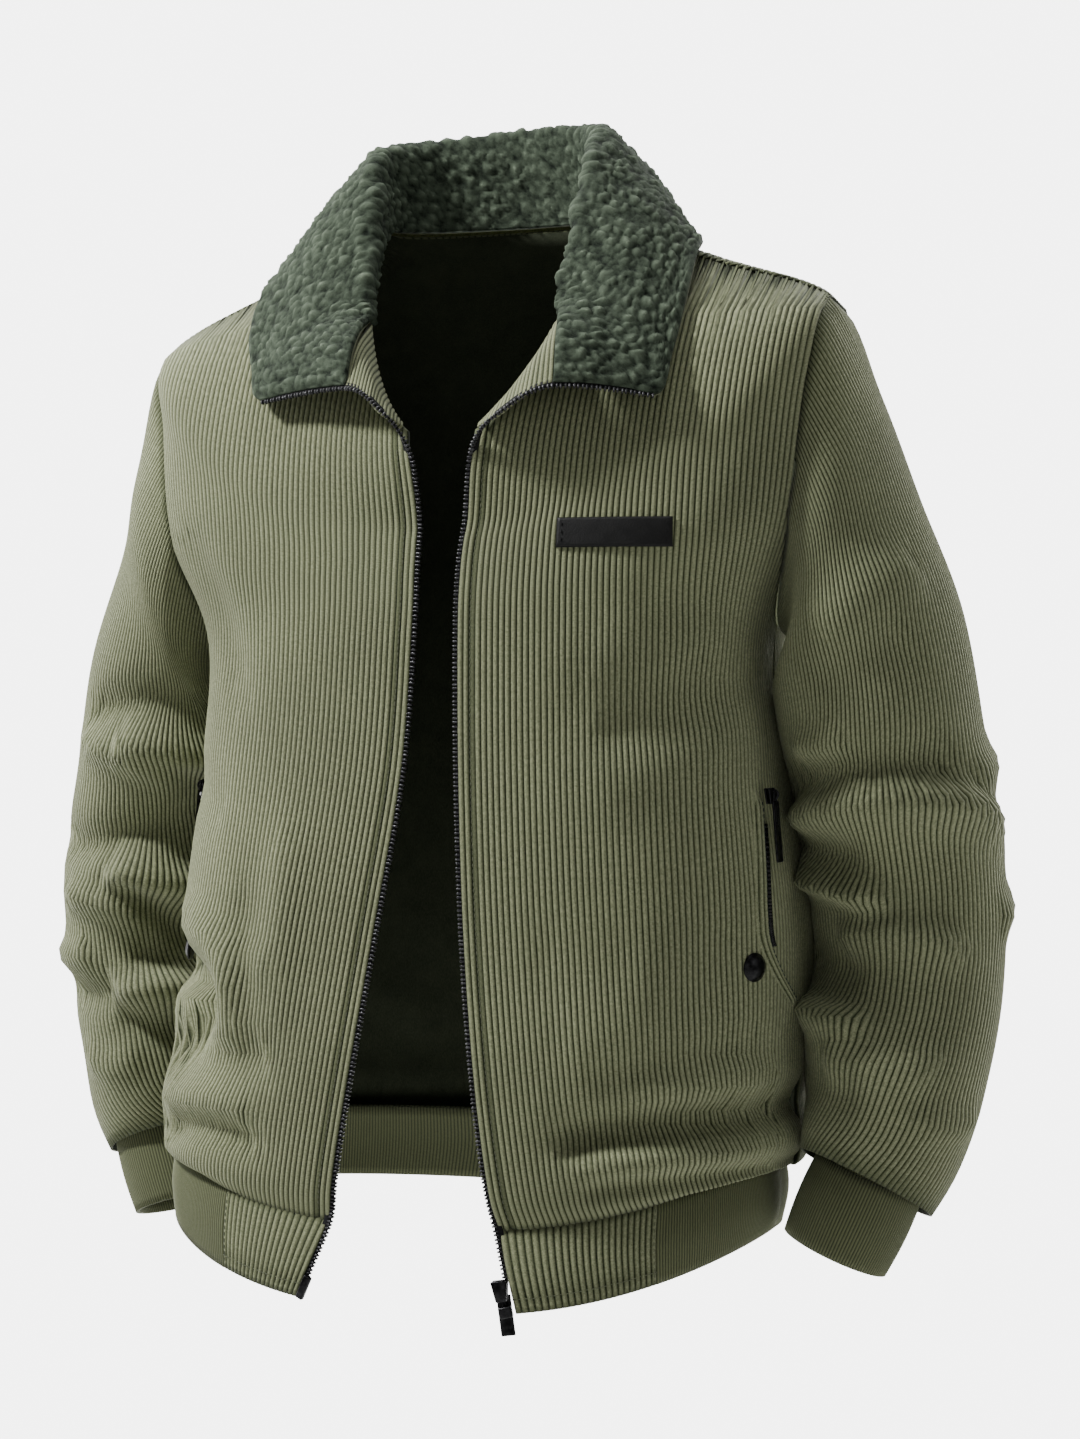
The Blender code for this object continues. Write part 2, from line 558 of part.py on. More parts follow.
def close_wall(mesh, offsets):
    """Turns an open sheet into a wall: a reversed copy moved by offsets, joined at the rim."""
    sheet_faces = list(mesh.faces)
    rim = [edge for edge in mesh.edges if edge.is_boundary]
    layer = mesh.verts.layers.int["number"]
    copy = bmesh.ops.duplicate(mesh, geom=mesh.verts[:] + mesh.edges[:] + sheet_faces)
    twin = copy["vert_map"]
    copied = [item for item in copy["geom"] if isinstance(item, bmesh.types.BMFace)]
    bmesh.ops.reverse_faces(mesh, faces=copied)
    for edge in rim:
        face = edge.link_faces[0]
        first = next(loop.vert for loop in face.loops if loop.edge == edge)
        second = edge.other_vert(first)
        mesh.faces.new((second, first, twin[first], twin[second]))
    for face in sheet_faces:
        for vert in face.verts:
            if not vert.tag:
                vert.tag = True
                twin[vert].co = vert.co + Vector(offsets[vert[layer]])


def sheet(name, paint, points, thickness, offset=-1.0, absent=None, wrap=False, flip=False,
          normals=None):
    """Cloth wall: a grid primitive laid on rows of points, then given its thickness."""
    rows, columns = points.shape[:2]
    bpy.ops.mesh.primitive_grid_add(x_subdivisions=columns - 1, y_subdivisions=rows - 1, size=1)
    thing = bpy.context.object
    thing.data.vertices.foreach_set("co", points.reshape(-1).astype(np.float32))
    mesh = bmesh.new()
    mesh.from_mesh(thing.data)
    mesh.verts.ensure_lookup_table()
    number = mesh.verts.layers.int.new("number")
    for index, vert in enumerate(mesh.verts):
        vert[number] = index
    if absent is not None:
        missing = [mesh.verts[index] for index in np.flatnonzero(absent.reshape(-1))]
        bmesh.ops.delete(mesh, geom=missing, context="VERTS")
    if wrap:
        bmesh.ops.remove_doubles(mesh, verts=mesh.verts, dist=1e-6)
    if flip:
        bmesh.ops.reverse_faces(mesh, faces=mesh.faces)
    if normals is not None:
        close_wall(mesh, -thickness * normals.reshape(-1, 3))
        mesh.to_mesh(thing.data)
        mesh.free()
        return place(thing, name, paint)
    mesh.to_mesh(thing.data)
    mesh.free()
    wall = thing.modifiers.new("Thickness", "SOLIDIFY")
    wall.thickness = thickness
    wall.offset = offset
    wall.use_quality_normals = True
    wall.use_even_offset = False
    return place(thing, name, paint)


def drawn_in(points, gap, left=False, right=False, bottom=False, top=False):
    """The same grid with chosen edges moved in by a seam gap."""
    result = points.copy()
    if left:
        result[:, 0] += unit(points[:, 1] - points[:, 0]) * gap
    if right:
        result[:, -1] += unit(points[:, -2] - points[:, -1]) * gap
    if bottom:
        result[0] += unit(points[1] - points[0]) * gap
    if top:
        result[-1] += unit(points[-2] - points[-1]) * gap
    return result


def panel_points(panel):
    """Points of half a front or back with every seam drawn in."""
    turn, level, absent = panel.grid()
    points = body(panel.piece, turn, level)
    notch = turn.shape[1] - 1 - SCYE_COLUMNS
    gap = SEAM_GAP / 2
    result = drawn_in(points, gap, bottom=True, right=True)
    result[-1, :notch + 1] += unit(points[-2, :notch + 1] - points[-1, :notch + 1]) * gap
    inner = points[LOWER_ROWS - 1, notch:] - points[LOWER_ROWS, notch:]
    result[LOWER_ROWS, notch:] += unit(inner) * gap
    result[LOWER_ROWS:, notch] += unit(points[LOWER_ROWS:, notch - 1] - points[LOWER_ROWS:, notch]) * gap
    return result, absent, outward(TORSO, turn, level)


def make_fronts(paint):
    for side in ("left", "right"):
        points, absent, normals = panel_points(Panel(side, side))
        sheet(f"front_{side}", paint, points, CORDUROY, absent=absent, flip=side == "right",
              normals=normals)


def make_back(paint):
    left = panel_points(Panel("back", "left"))
    right = panel_points(Panel("back", "right"))
    halves = [np.concatenate([one[:, ::-1], two[:, 1:]], axis=1) for one, two in zip(left, right)]
    points, absent, normals = halves
    sheet("back", paint, points, CORDUROY, absent=absent, normals=normals)


def armhole_loop(side):
    """Closed armhole from the tip down the front and up the back, with its ring angles."""
    front = Panel(side, side).armhole()
    back = Panel("back", side).armhole()
    angles = []
    for half in (front, back):
        lengths = np.linalg.norm(np.diff(half, axis=0), axis=1)
        angles.append(np.concatenate([[0.0], np.cumsum(lengths)]) / lengths.sum() * 180.0)
    loop = np.concatenate([front, back[::-1][1:]])
    angle = np.concatenate([angles[0], 360.0 - angles[1][::-1][1:]])
    return loop, angle


def sleeve_ring(side, angle, place_down):
    """Point of a sleeve ring. angle runs from the outer side to the front, in degrees."""
    rings = SLEEVE[side]
    tilt = np.radians(read(rings, "tilt", place_down))
    centre = np.stack([read(rings, name, place_down) for name in ("x", "y", "z")], axis=-1)
    step = 0.05
    ahead = np.stack([read(rings, name, place_down + step) for name in ("x", "y", "z")], axis=-1)
    behind = np.stack([read(rings, name, place_down - step) for name in ("x", "y", "z")], axis=-1)
    heading = unit(ahead - behind)
    sideways = np.stack([np.cos(tilt), 0 * tilt, np.sin(tilt)], axis=-1)
    forward = unit(np.stack([0 * tilt, heading[..., 2], -heading[..., 1]], axis=-1))
    angle = np.radians(angle)
    across = (read(rings, "across", place_down) * np.cos(angle))[..., None]
    along = (read(rings, "along", place_down) * np.sin(angle))[..., None]
    point = centre + sideways * across + forward * along
    return point * np.array([SIGN[side], 1.0, 1.0])


def sleeve_points(side, rows):
    """Outer face of a sleeve, armhole first, with its folds."""
    loop, angle = armhole_loop(side)
    count = len(SLEEVE[side]["x"])
    guides = [loop]
    for row in range(count):
        guides.append(sleeve_ring(side, angle, np.full(len(angle), float(row))))
    guides = np.stack(guides)
    tip_slope = np.array([SIGN[side] * TIP_SLOPE[0], 0.0, TIP_SLOPE[1]])
    pit_slope = np.array([SIGN[side] * PIT_SLOPE[0], 0.0, PIT_SLOPE[1]])
    turned = (0.5 - 0.5 * np.cos(np.radians(angle)))[:, None]
    start = unit(tip_slope * (1 - turned) + pit_slope * turned)
    before = guides[0] - start * np.linalg.norm(guides[1] - guides[0], axis=1, keepdims=True)
    points = np.zeros((rows + 1, len(angle), 3))
    for column in range(len(angle)):
        corners = np.concatenate([[before[column]], guides[:, column]])
        fine = np.linspace(1.0, len(corners) - 1.0, 30 * count)
        names = {name: corners[:, axis] for axis, name in enumerate(("x", "y", "z"))}
        line = np.stack([read(names, name, fine) for name in names], axis=-1)
        points[:, column] = resample(line, rows + 1)
    points = fold_sleeve(side, points, angle)
    fade = ease(np.linspace(0.0, 1.0, rows + 1) / ARMHOLE_FADE)[:, None]
    samples = np.concatenate([Panel(side, side).samples(), Panel("back", side).samples()])
    clearance = np.broadcast_to(fade * SLEEVE_CLEARANCE, points.shape[:2])
    for _ in range(2):
        points = clear_of(points, samples, clearance)
    return points


def fold_sleeve(side, points, angle):
    """Moves the sleeve's points along their normals by the sleeve's folds."""
    folds = dict(SLEEVE_FOLDS[side])
    for name in ("round0", "round1", "round2"):
        folds[name] = np.radians(folds[name]) * ARM_RADIUS
    lift = np.zeros(points.shape[:2])
    for shift in (-360.0, 0.0):
        across = np.broadcast_to(np.radians(angle + shift) * ARM_RADIUS, lift.shape)
        lift += fold_height(across, points[..., 2], folds)
    share = np.linspace(0.0, 1.0, len(points))[:, None]
    fade = ease(share / 0.2) * ease((1.0 - share) / 0.06)
    closed = np.concatenate([points[:, -2:-1], points, points[:, 1:2]], axis=1)
    around = closed[:, 2:] - closed[:, :-2]
    normal = unit(np.cross(np.gradient(points, axis=0), around)) * SIGN[side]
    return points + normal * (lift * fade)[..., None]


def make_sleeves(paint):
    for side in ("left", "right"):
        points = sleeve_points(side, SLEEVE_ROWS)
        toward = unit(points[1] - points[0])
        points[0] += toward * ARMHOLE_GAP
        sheet(f"sleeve_{side}", paint, points, CORDUROY, wrap=True, flip=side == "right")


def cuff_points(side, rows, count):
    """Outer face of a cuff, from inside the sleeve end to the wrist."""
    rings = SLEEVE[side]
    end = len(rings["x"]) - 1.0
    seam = np.array([read(rings, name, end) for name in ("x", "y", "z")])
    wrist = np.array(CUFF_END[side])
    axis = unit(wrist - seam)
    top = seam - axis * CUFF_OVERLAP
    tilt = math.radians(CUFF_TILT[side])
    sideways = np.array([math.cos(tilt), 0.0, math.sin(tilt)])
    forward = unit(np.cross(sideways, axis))
    forward = forward if forward[1] < 0 else -forward
    angle = np.radians(np.linspace(0.0, 360.0, count + 1))
    points = np.zeros((rows + 1, count + 1, 3))
    for row, share in enumerate(np.linspace(0.0, 1.0, rows + 1)):
        radius = CUFF_RADIUS * (1.0 + 0.02 * math.sin(math.pi * share) - 0.03 * share)
        centre = top + (wrist - top) * share
        circle = sideways * np.cos(angle)[:, None] + forward * np.sin(angle)[:, None] * 1.04
        points[row] = centre + circle * radius
    points[:, -1] = points[:, 0]
    return points * np.array([SIGN[side], 1.0, 1.0])


def make_cuffs(paint):
    for side in ("left", "right"):
        points = cuff_points(side, CUFF_ROWS, CUFF_COLUMNS)
        sheet(f"cuff_{side}", paint, points, RIB_KNIT, wrap=True, flip=side == "right")


def hem_turn(side, level):
    """Turn of the zip edge on the hem band."""
    edge = read(HEM_ZIP, side, level) * SIGN[side]
    middle = (read(HEM, "shift", level) + read(HEM, "sway", level)) * SIGN[side]
    across = (edge - middle) / read(HEM, "half_width", level)
    power = read(HEM, "square", level) / 2.0
    return np.degrees(np.arcsin(np.sign(across) * np.abs(across) ** power))


def tab_turn(side, level):
    """Turn of the seam between a corduroy tab and the ribbed band."""
    edge = read(HEM_ZIP, side, 1.0) * SIGN[side] + TAB_WIDTH[side]
    middle = (read(HEM, "shift", level) + read(HEM, "sway", level)) * SIGN[side]
    across = (edge - middle) / read(HEM, "half_width", level)
    return np.degrees(np.arcsin(across ** (read(HEM, "square", level) / 2.0)))


def band_points(start, stop, rows, count):
    """Hem band between two turns that are given for every level, bottom row first."""
    level = np.linspace(2.0, 0.0, rows + 1)[:, None]
    share = np.linspace(0.0, 1.0, count + 1)[None, :]
    turn = start(level) + (stop(level) - start(level)) * share
    points = ring(HEM, turn, np.broadcast_to(level, turn.shape))
    points = drawn_in(points, SEAM_GAP, left=True, right=True)
    return drawn_in(points, HEM_GAP, top=True)


def make_hem(corduroy, knit):
    for side in ("left", "right"):
        sign = SIGN[side]
        points = band_points(lambda level: hem_turn(side, level) * sign,
                             lambda level: tab_turn(side, level) * sign, BAND_ROWS, TAB_COLUMNS)
        sheet(f"hem_tab_{side}", corduroy, points, CORDUROY, flip=side == "right")
    points = band_points(lambda level: tab_turn("left", level),
                         lambda level: 360.0 - tab_turn("right", level), BAND_ROWS, RIB_COLUMNS)
    sheet("hem_rib", knit, points, RIB_KNIT)


def collar_section(neck, crest, edge, count):
    """Neck seam, up to the fold line, over it and down to the free edge."""
    out = unit((edge - crest) * np.array([1.0, 1.0, 0.0]))
    height = np.linalg.norm(crest - neck)
    radius = FOLD_RADIUS * min(1.0, height / 0.03)
    dip = np.array([0.0, 0.0, -0.8 * radius])
    rise = unit(np.cross(np.cross(out, edge - crest), edge - crest))
    rise = rise if rise[2] > 0 else -rise
    fall = crest + out * radius + dip
    corners = [neck, crest - out * radius + dip, crest, fall]
    for share in (0.33, 0.67):
        corners.append(fall + (edge - fall) * share + rise * FALL_BULGE * math.sin(math.pi * share))
    corners.append(edge)
    return smooth_curve(corners, count)


def shoulder_samples():
    """Points of the body near the neck with their normals."""
    turn, level = np.meshgrid(np.linspace(-180.0, 180.0, 361), np.linspace(6.5, NECK_ROW, 71))
    points = ring(TORSO, turn, level)
    return np.concatenate([points, outward(TORSO, turn, level)], axis=-1).reshape(-1, 6)


SHOULDERS = shoulder_samples()


def collar_half(side, count, rows):
    """Sections of half the collar, from the centre back to the seam on the front corner."""
    columns = COLLAR[side]
    last = len(columns["turn"]) - 1
    flip = np.array([SIGN[side], 1.0, 1.0])
    sections = []
    for place_along in np.linspace(0.0, last, count):
        turn = read(columns, "turn", place_along)
        crest = np.array([read(columns, f"crest_{axis}", place_along) for axis in "xyz"]) * flip
        edge = np.array([read(columns, f"edge_{axis}", place_along) for axis in "xyz"]) * flip
        sections.append((float(turn) * SIGN[side], crest, edge))
    tip = sections[-1]
    seam_crest = ring(TORSO, SEAM_TURN * SIGN[side], float(NECK_ROW)) + np.array([0, 0, SEAM_LIFT])
    edges = corner_line(side)[0]
    for share in SEAM_SHARES:
        turn = tip[0] + (SEAM_TURN * SIGN[side] - tip[0]) * share
        crest = tip[1] + (seam_crest - tip[1]) * share
        sections.append((turn, crest, edges[int(round(share * (len(edges) - 1)))]))
    drawn = np.stack([collar_section(neck_point(turn), crest, edge, rows + 1)
                      for turn, crest, edge in sections])
    fall = drawn[:, FALL_ROW:]
    shift = clear_of(fall, SHOULDERS, COLLAR_CLEARANCE) - fall
    for _ in range(2):
        shift[1:-1] = (shift[:-2] + 2 * shift[1:-1] + shift[2:]) / 4
        shift[:, 1:-1] = (shift[:, :-2] + 2 * shift[:, 1:-1] + shift[:, 2:]) / 4
    drawn[:, FALL_ROW:] = clear_of(fall + shift, SHOULDERS, COLLAR_CLEARANCE * 0.8)
    return drawn


def corner_line(side):
    """Zip's line from the collar's tip to the neck seam, and on to the front edge."""
    sign = SIGN[side]
    tip = np.array([COLLAR[side][f"edge_{axis}"][-1] for axis in "xyz"]) * [sign, 1.0, 1.0]
    stop = float(Panel(side, side).start_turn(np.array(float(NECK_ROW))))
    end = ring(TORSO, stop * sign, float(NECK_ROW))
    seam = np.array(SEAM_ON_ZIP[side])
    line = smooth_curve([tip, seam, np.array(BREAK_BEND[side]), end], CORNER_STEPS + 1)
    middle = int(np.argmin(np.linalg.norm(line - seam, axis=1)))
    return line[:middle + 1], line[middle:]


def neck_point(turn):
    """Foot of the collar stand, just over the body's neck edge."""
    return ring(TORSO, turn, float(NECK_ROW)) + np.array([0.0, 0.0, NECK_LIFT])


def collar_points(count, rows):
    left = collar_half("left", count, rows)
    right = collar_half("right", count, rows)
    return np.concatenate([left[::-1], right[1:]]).transpose(1, 0, 2)


def facing_points(side, count, rows):
    """Turned-back corner of the front between the neck seam, the fold and the zip."""
    sign = SIGN[side]
    start = SEAM_TURN
    stop = float(Panel(side, side).start_turn(np.array(float(NECK_ROW))))
    zip_line = resample(corner_line(side)[1], 101)
    columns = []
    for share in np.linspace(0.0, FACING_SHARE, count + 1):
        turn = start + (stop - start) * share
        crest = ring(TORSO, turn * sign, float(NECK_ROW))
        lifted = crest + np.array([0.0, -0.0006, FACING_LIFT + 0.003 * (1 - share)])
        edge = zip_line[int(round(share * 100))]
        rise = np.array([0.0, -0.35, 0.94]) * 0.006 * (1 - share)
        columns.append(smooth_curve([lifted, (lifted + edge) / 2 + rise, edge], rows + 1))
    return np.stack(columns, axis=1)


def make_collar(fleece, corduroy):
    points = collar_points(COLLAR_STATIONS, COLLAR_ROWS)
    sheet("collar", fleece, points, FLEECE, offset=1.0, flip=True)
    below = points + sheet_normals(points) * SEAM_GAP
    sheet("under_collar", corduroy, below, UNDER_CLOTH, offset=1.0)
    for side in ("left", "right"):
        corner = facing_points(side, FACING_STATIONS, FACING_ROWS)
        corner = drawn_in(corner, FACING_GAP, left=True, top=True)
        sheet(f"facing_{side}", corduroy, corner, FACING, offset=0.0, flip=side == "left")


def sheet_normals(points):
    return unit(np.cross(np.gradient(points, axis=1), np.gradient(points, axis=0)))


# ---------------------------------------------------------------- zips

def zip_route(side):
    """Edge that carries the zip, hem first: points and the way out of the cloth."""
    sign = SIGN[side]
    panel = Panel(side, side)
    edges = []
    inside = []
    for level in np.linspace(2.0, 0.25, 5):
        turn = hem_turn(side, level)
        edges.append(ring(HEM, turn * sign, level))
        inside.append(ring(HEM, (turn + 2.0) * sign, level))
    for level in np.linspace(0.0, NECK_ROW - 0.4, 26):
        turn = panel.start_turn(np.array(level))
        edges.append(body(side, turn * sign, np.array(level)))
        inside.append(body(side, (turn + 2.0) * sign, np.array(level)))
    corner = facing_points(side, FACING_STATIONS, FACING_ROWS)
    for column in range(FACING_STATIONS - 1, -1, -1):
        edges.append(corner[-1, column])
        inside.append(corner[-2, column])
    sections = collar_half(side, COLLAR_STATIONS, COLLAR_ROWS)
    for section in sections[-2:COLLAR_STATIONS - 2:-1]:
        edges.append(section[-1])
        inside.append(section[-2])
    edges = np.array(edges)
    away = unit(edges - np.array(inside))
    for _ in range(4):
        away[1:-1] = unit(away[:-2] + 2 * away[1:-1] + away[2:])
    return edges, away


def resample_pair(points, vectors, count):
    """Points spaced evenly along a route, with the vectors that go with them."""
    lengths = np.linalg.norm(np.diff(points, axis=0), axis=1)
    along = np.concatenate([[0.0], np.cumsum(lengths)])
    wanted = np.linspace(0.0, along[-1], count)
    columns = [np.interp(wanted, along, values[:, axis]) for values in (points, vectors)
               for axis in range(3)]
    return np.stack(columns[:3], axis=-1), unit(np.stack(columns[3:], axis=-1))


def zip_tape(side, skip):
    """Tape and chain outside the cloth's edge; skip is the length left to the hardware."""
    edges, away = zip_route(side)
    edges, away = resample_pair(edges, away, 300)
    lengths = np.concatenate([[0.0], np.cumsum(np.linalg.norm(np.diff(edges, axis=0), axis=1))])
    keep = lengths >= skip
    edges, away = resample_pair(edges[keep], away[keep], TAPE_STATIONS)
    along = unit(np.gradient(edges, axis=0))
    across = unit(np.cross(away, along)) * SIGN[side]
    middle = edges - across * CORDUROY * 0.5
    near = middle + away * SEAM_GAP * 1.5
    return np.stack([near, near + away * TAPE_WIDTH], axis=1)


def make_zip_tapes(paint):
    skips = {"left": SLIDER_SKIP, "right": PIN_SKIP}
    for side in ("left", "right"):
        points = zip_tape(side, skips[side])
        sheet(f"zip_tape_{side}", paint, points, TAPE_THICKNESS, offset=0.0, flip=side == "left")


def rounded_box(size, radius, matrix):
    """A box with bevelled edges as a mesh object at a matrix."""
    bpy.ops.mesh.primitive_cube_add(size=1)
    thing = bpy.context.object
    thing.data.transform(Matrix.Diagonal((*size, 1.0)))
    thing.matrix_world = matrix
    bevel = thing.modifiers.new("Rounded edges", "BEVEL")
    bevel.width = radius
    bevel.segments = 1
    bevel.limit_method = "NONE"
    return thing


def frame_on_edge(point, along, toward):
    """Axes of a small piece on the cloth: Z up along it, -Y to its outer face."""
    z_axis = Vector(along).normalized()
    y_axis = -Vector(toward)
    y_axis = (y_axis - z_axis * y_axis.dot(z_axis)).normalized()
    x_axis = y_axis.cross(z_axis)
    matrix = Matrix((x_axis, y_axis, z_axis)).transposed().to_4x4()
    matrix.translation = Vector(point)
    return matrix


def hem_edge_frame(side, level, width):
    """Frame of a piece just off the hem band's zip edge; -Y is the outer face."""
    sign = SIGN[side]
    turn = hem_turn(side, level) * sign
    point = ring(HEM, turn, level)
    inner = ring(HEM, turn + 2.0 * sign, level)
    lower = ring(HEM, hem_turn(side, min(level + 0.1, 2.0)) * sign, min(level + 0.1, 2.0))
    upper = ring(HEM, hem_turn(side, level - 0.1) * sign, level - 0.1)
    away = unit(point - inner)
    along = unit(upper - lower)
    face = outward(HEM, turn, level)
    middle = point - face * CORDUROY * 0.5 + away * (EDGE_CLEARANCE + width * 0.5)
    return frame_on_edge(middle, along, face)


def union(target, others):
    """Joins pieces to the first one and removes them."""
    for other in others:
        join = target.modifiers.new("Join", "BOOLEAN")
        join.operation = "UNION"
        join.object = other
        bpy.context.view_layer.update()
        depsgraph = bpy.context.evaluated_depsgraph_get()
        mesh = bpy.data.meshes.new_from_object(target.evaluated_get(depsgraph))
        target.modifiers.clear()
        target.data = mesh
        bpy.data.objects.remove(other, do_unlink=True)
    return target


def cylinder(radius, depth, matrix, sides=10):
    bpy.ops.mesh.primitive_cylinder_add(vertices=sides, radius=radius, depth=depth)
    thing = bpy.context.object
    thing.matrix_world = matrix
    return thing


def slider(name, paint, matrix, size):
    """Zip slider with two lugs and a pin on its outer face; gives the pin's centre."""
    body_box = rounded_box(size, 0.0012, matrix)
    face = -size[1] / 2
    parts = []
    for step in (-1, 1):
        shift = Vector((step * (LUG_GAP + LUG_SIZE[0]) / 2, face - LUG_SIZE[1] / 2 + LUG_SINK, 0.0))
        parts.append(rounded_box(LUG_SIZE, 0.0004, matrix @ Matrix.Translation(shift)))
    hinge = Vector((0.0, face - LUG_SIZE[1] + LUG_SINK * 2 + HINGE_RADIUS, 0.0))
    lying = Matrix.Rotation(math.pi / 2, 4, "Y")
    width = LUG_GAP + LUG_SIZE[0]
    parts.append(cylinder(HINGE_RADIUS, width, matrix @ Matrix.Translation(hinge) @ lying))
    place(union(body_box, parts), name, paint)
    return matrix @ hinge


def pull_tab(name, paint, frame, hinge, size):
    """Flat pull that hangs along its slider from the pin, with an eye round the pin."""
    width, thickness, length = size
    eye_outer = HINGE_RADIUS + EYE_CLEARANCE + EYE_WALL
    lying = Matrix.Rotation(math.pi / 2, 4, "Y")
    eye_width = LUG_GAP - 2 * EYE_CLEARANCE
    eye = cylinder(eye_outer, eye_width, lying, sides=12)
    neck = rounded_box((eye_width, thickness, NECK_LENGTH), 0.0003,
                       Matrix.Translation((0, 0, -NECK_LENGTH / 2)))
    plate = rounded_box((width, thickness, length), 0.0005,
                        Matrix.Translation((0, 0, 0.001 - NECK_LENGTH - length / 2)))
    thing = union(plate, [neck, eye])
    hole = cylinder(HINGE_RADIUS + EYE_CLEARANCE, 2 * LUG_GAP, lying, sides=12)
    cut = thing.modifiers.new("Eye", "BOOLEAN")
    cut.operation = "DIFFERENCE"
    cut.object = hole
    bpy.context.view_layer.update()
    depsgraph = bpy.context.evaluated_depsgraph_get()
    mesh = bpy.data.meshes.new_from_object(thing.evaluated_get(depsgraph))
    mesh.transform(thing.matrix_world)
    thing.modifiers.clear()
    thing.data = mesh
    bpy.data.objects.remove(hole, do_unlink=True)
    thing.matrix_world = Matrix.Translation(hinge) @ frame.to_3x3().to_4x4()
    return place(thing, name, paint)


def make_main_zip(tape, metal):
    make_zip_tapes(tape)
    lean = Matrix.Rotation(math.radians(SLIDER_SWING), 4, "Y")
    frame = hem_edge_frame("left", SLIDER_LEVEL, SLIDER_SIZE[0]) @ lean
    hinge = slider("zip_slider", metal, frame, SLIDER_SIZE)
    pull_tab("zip_pull", metal, frame, hinge, PULL_SIZE)
    frame = hem_edge_frame("left", STOP_LEVEL, STOP_SIZE[0])
    place(rounded_box(STOP_SIZE, 0.0008, frame), "zip_retainer", metal)
    frame = hem_edge_frame("right", PIN_LEVEL, PIN_SIZE[0])
    place(rounded_box(PIN_SIZE, 0.0008, frame), "zip_pin", metal)


# ---------------------------------------------------------------- pockets and patch

def arc_turn(side, turn, level, distance):
    """Turn that lies a distance round the body towards the front."""
    near = ring(TORSO, turn * SIGN[side], level)
    far = ring(TORSO, (turn - 2.0) * SIGN[side], level)
    rate = np.linalg.norm(near - far, axis=-1) / 2.0
    return turn - distance / rate


def slit(side, count, start=0.0, stop=1.0):
    """Turns and levels along a stretch of the pocket's slit, top first."""
    rows = len(POCKET_SLIT["turn"]) - 1
    along = np.linspace(start, stop, count) * rows * POCKET_END[side]
    return read(POCKET_SLIT, "turn", along) + POCKET_SHIFT[side], read(POCKET_SLIT, "level", along)


def strip_on_body(side, turn, level, near, far, lift):
    """Strip beside the slit: both long edges lie on the body, moved out by a lift."""
    sign = SIGN[side]
    columns = []
    for distance in (near, (near + far) / 2, far):
        here = arc_turn(side, turn, level, distance)
        points = body(side, here * sign, level)
        columns.append(lay_on_front(side, points, outward(TORSO, here * sign, level), lift))
    return np.stack(columns, axis=1)


def lay_on_front(side, points, normals, lift):
    """Points dropped on the front's solid and moved out from it by a lift."""
    bpy.context.view_layer.update()
    front = bpy.data.objects[f"front_{side}"].evaluated_get(bpy.context.evaluated_depsgraph_get())
    laid = points.reshape(-1, 3).copy()
    for index, (point, normal) in enumerate(zip(laid, normals.reshape(-1, 3))):
        above = Vector(point) + Vector(normal) * CAST_HEIGHT
        found, where, _, _ = front.ray_cast(above, -Vector(normal))
        if found:
            laid[index] = where
    return laid.reshape(points.shape) + normals * lift


def make_pockets(cloth, tape, metal):
    for side in ("left", "right"):
        sign = SIGN[side]
        turn, level = slit(side, 18)
        points = strip_on_body(side, turn, level, 0.0, WELT_WIDTH, WELT_LIFT)
        sheet(f"pocket_welt_{side}", cloth, points, WELT_THICKNESS, offset=1.0, flip=side == "right")
        turn, level = slit(side, 12, *POCKET_TAPE_SHARE)
        points = strip_on_body(side, turn, level, -POCKET_TAPE_WIDTH, -0.0006, WELT_LIFT)
        sheet(f"pocket_tape_{side}", tape, points, TAPE_THICKNESS, offset=1.0, flip=side == "right")
        turn, level = slit(side, 3, *POCKET_SLIDER_SHARE)
        faces = outward(TORSO, turn * sign, level)
        seats = lay_on_front(side, body(side, turn * sign, level), faces, POCKET_SLIDER_LIFT)
        lean = Matrix.Rotation(math.radians(-POCKET_SWING * sign), 4, "Y")
        frame = frame_on_edge(seats[0], seats[0] - seats[2], faces[0]) @ lean
        hinge = slider(f"pocket_slider_{side}", metal, frame, POCKET_SLIDER_SIZE)
        pull_tab(f"pocket_pull_{side}", metal, frame, hinge, POCKET_PULL_SIZE)
        make_snap(side, metal)


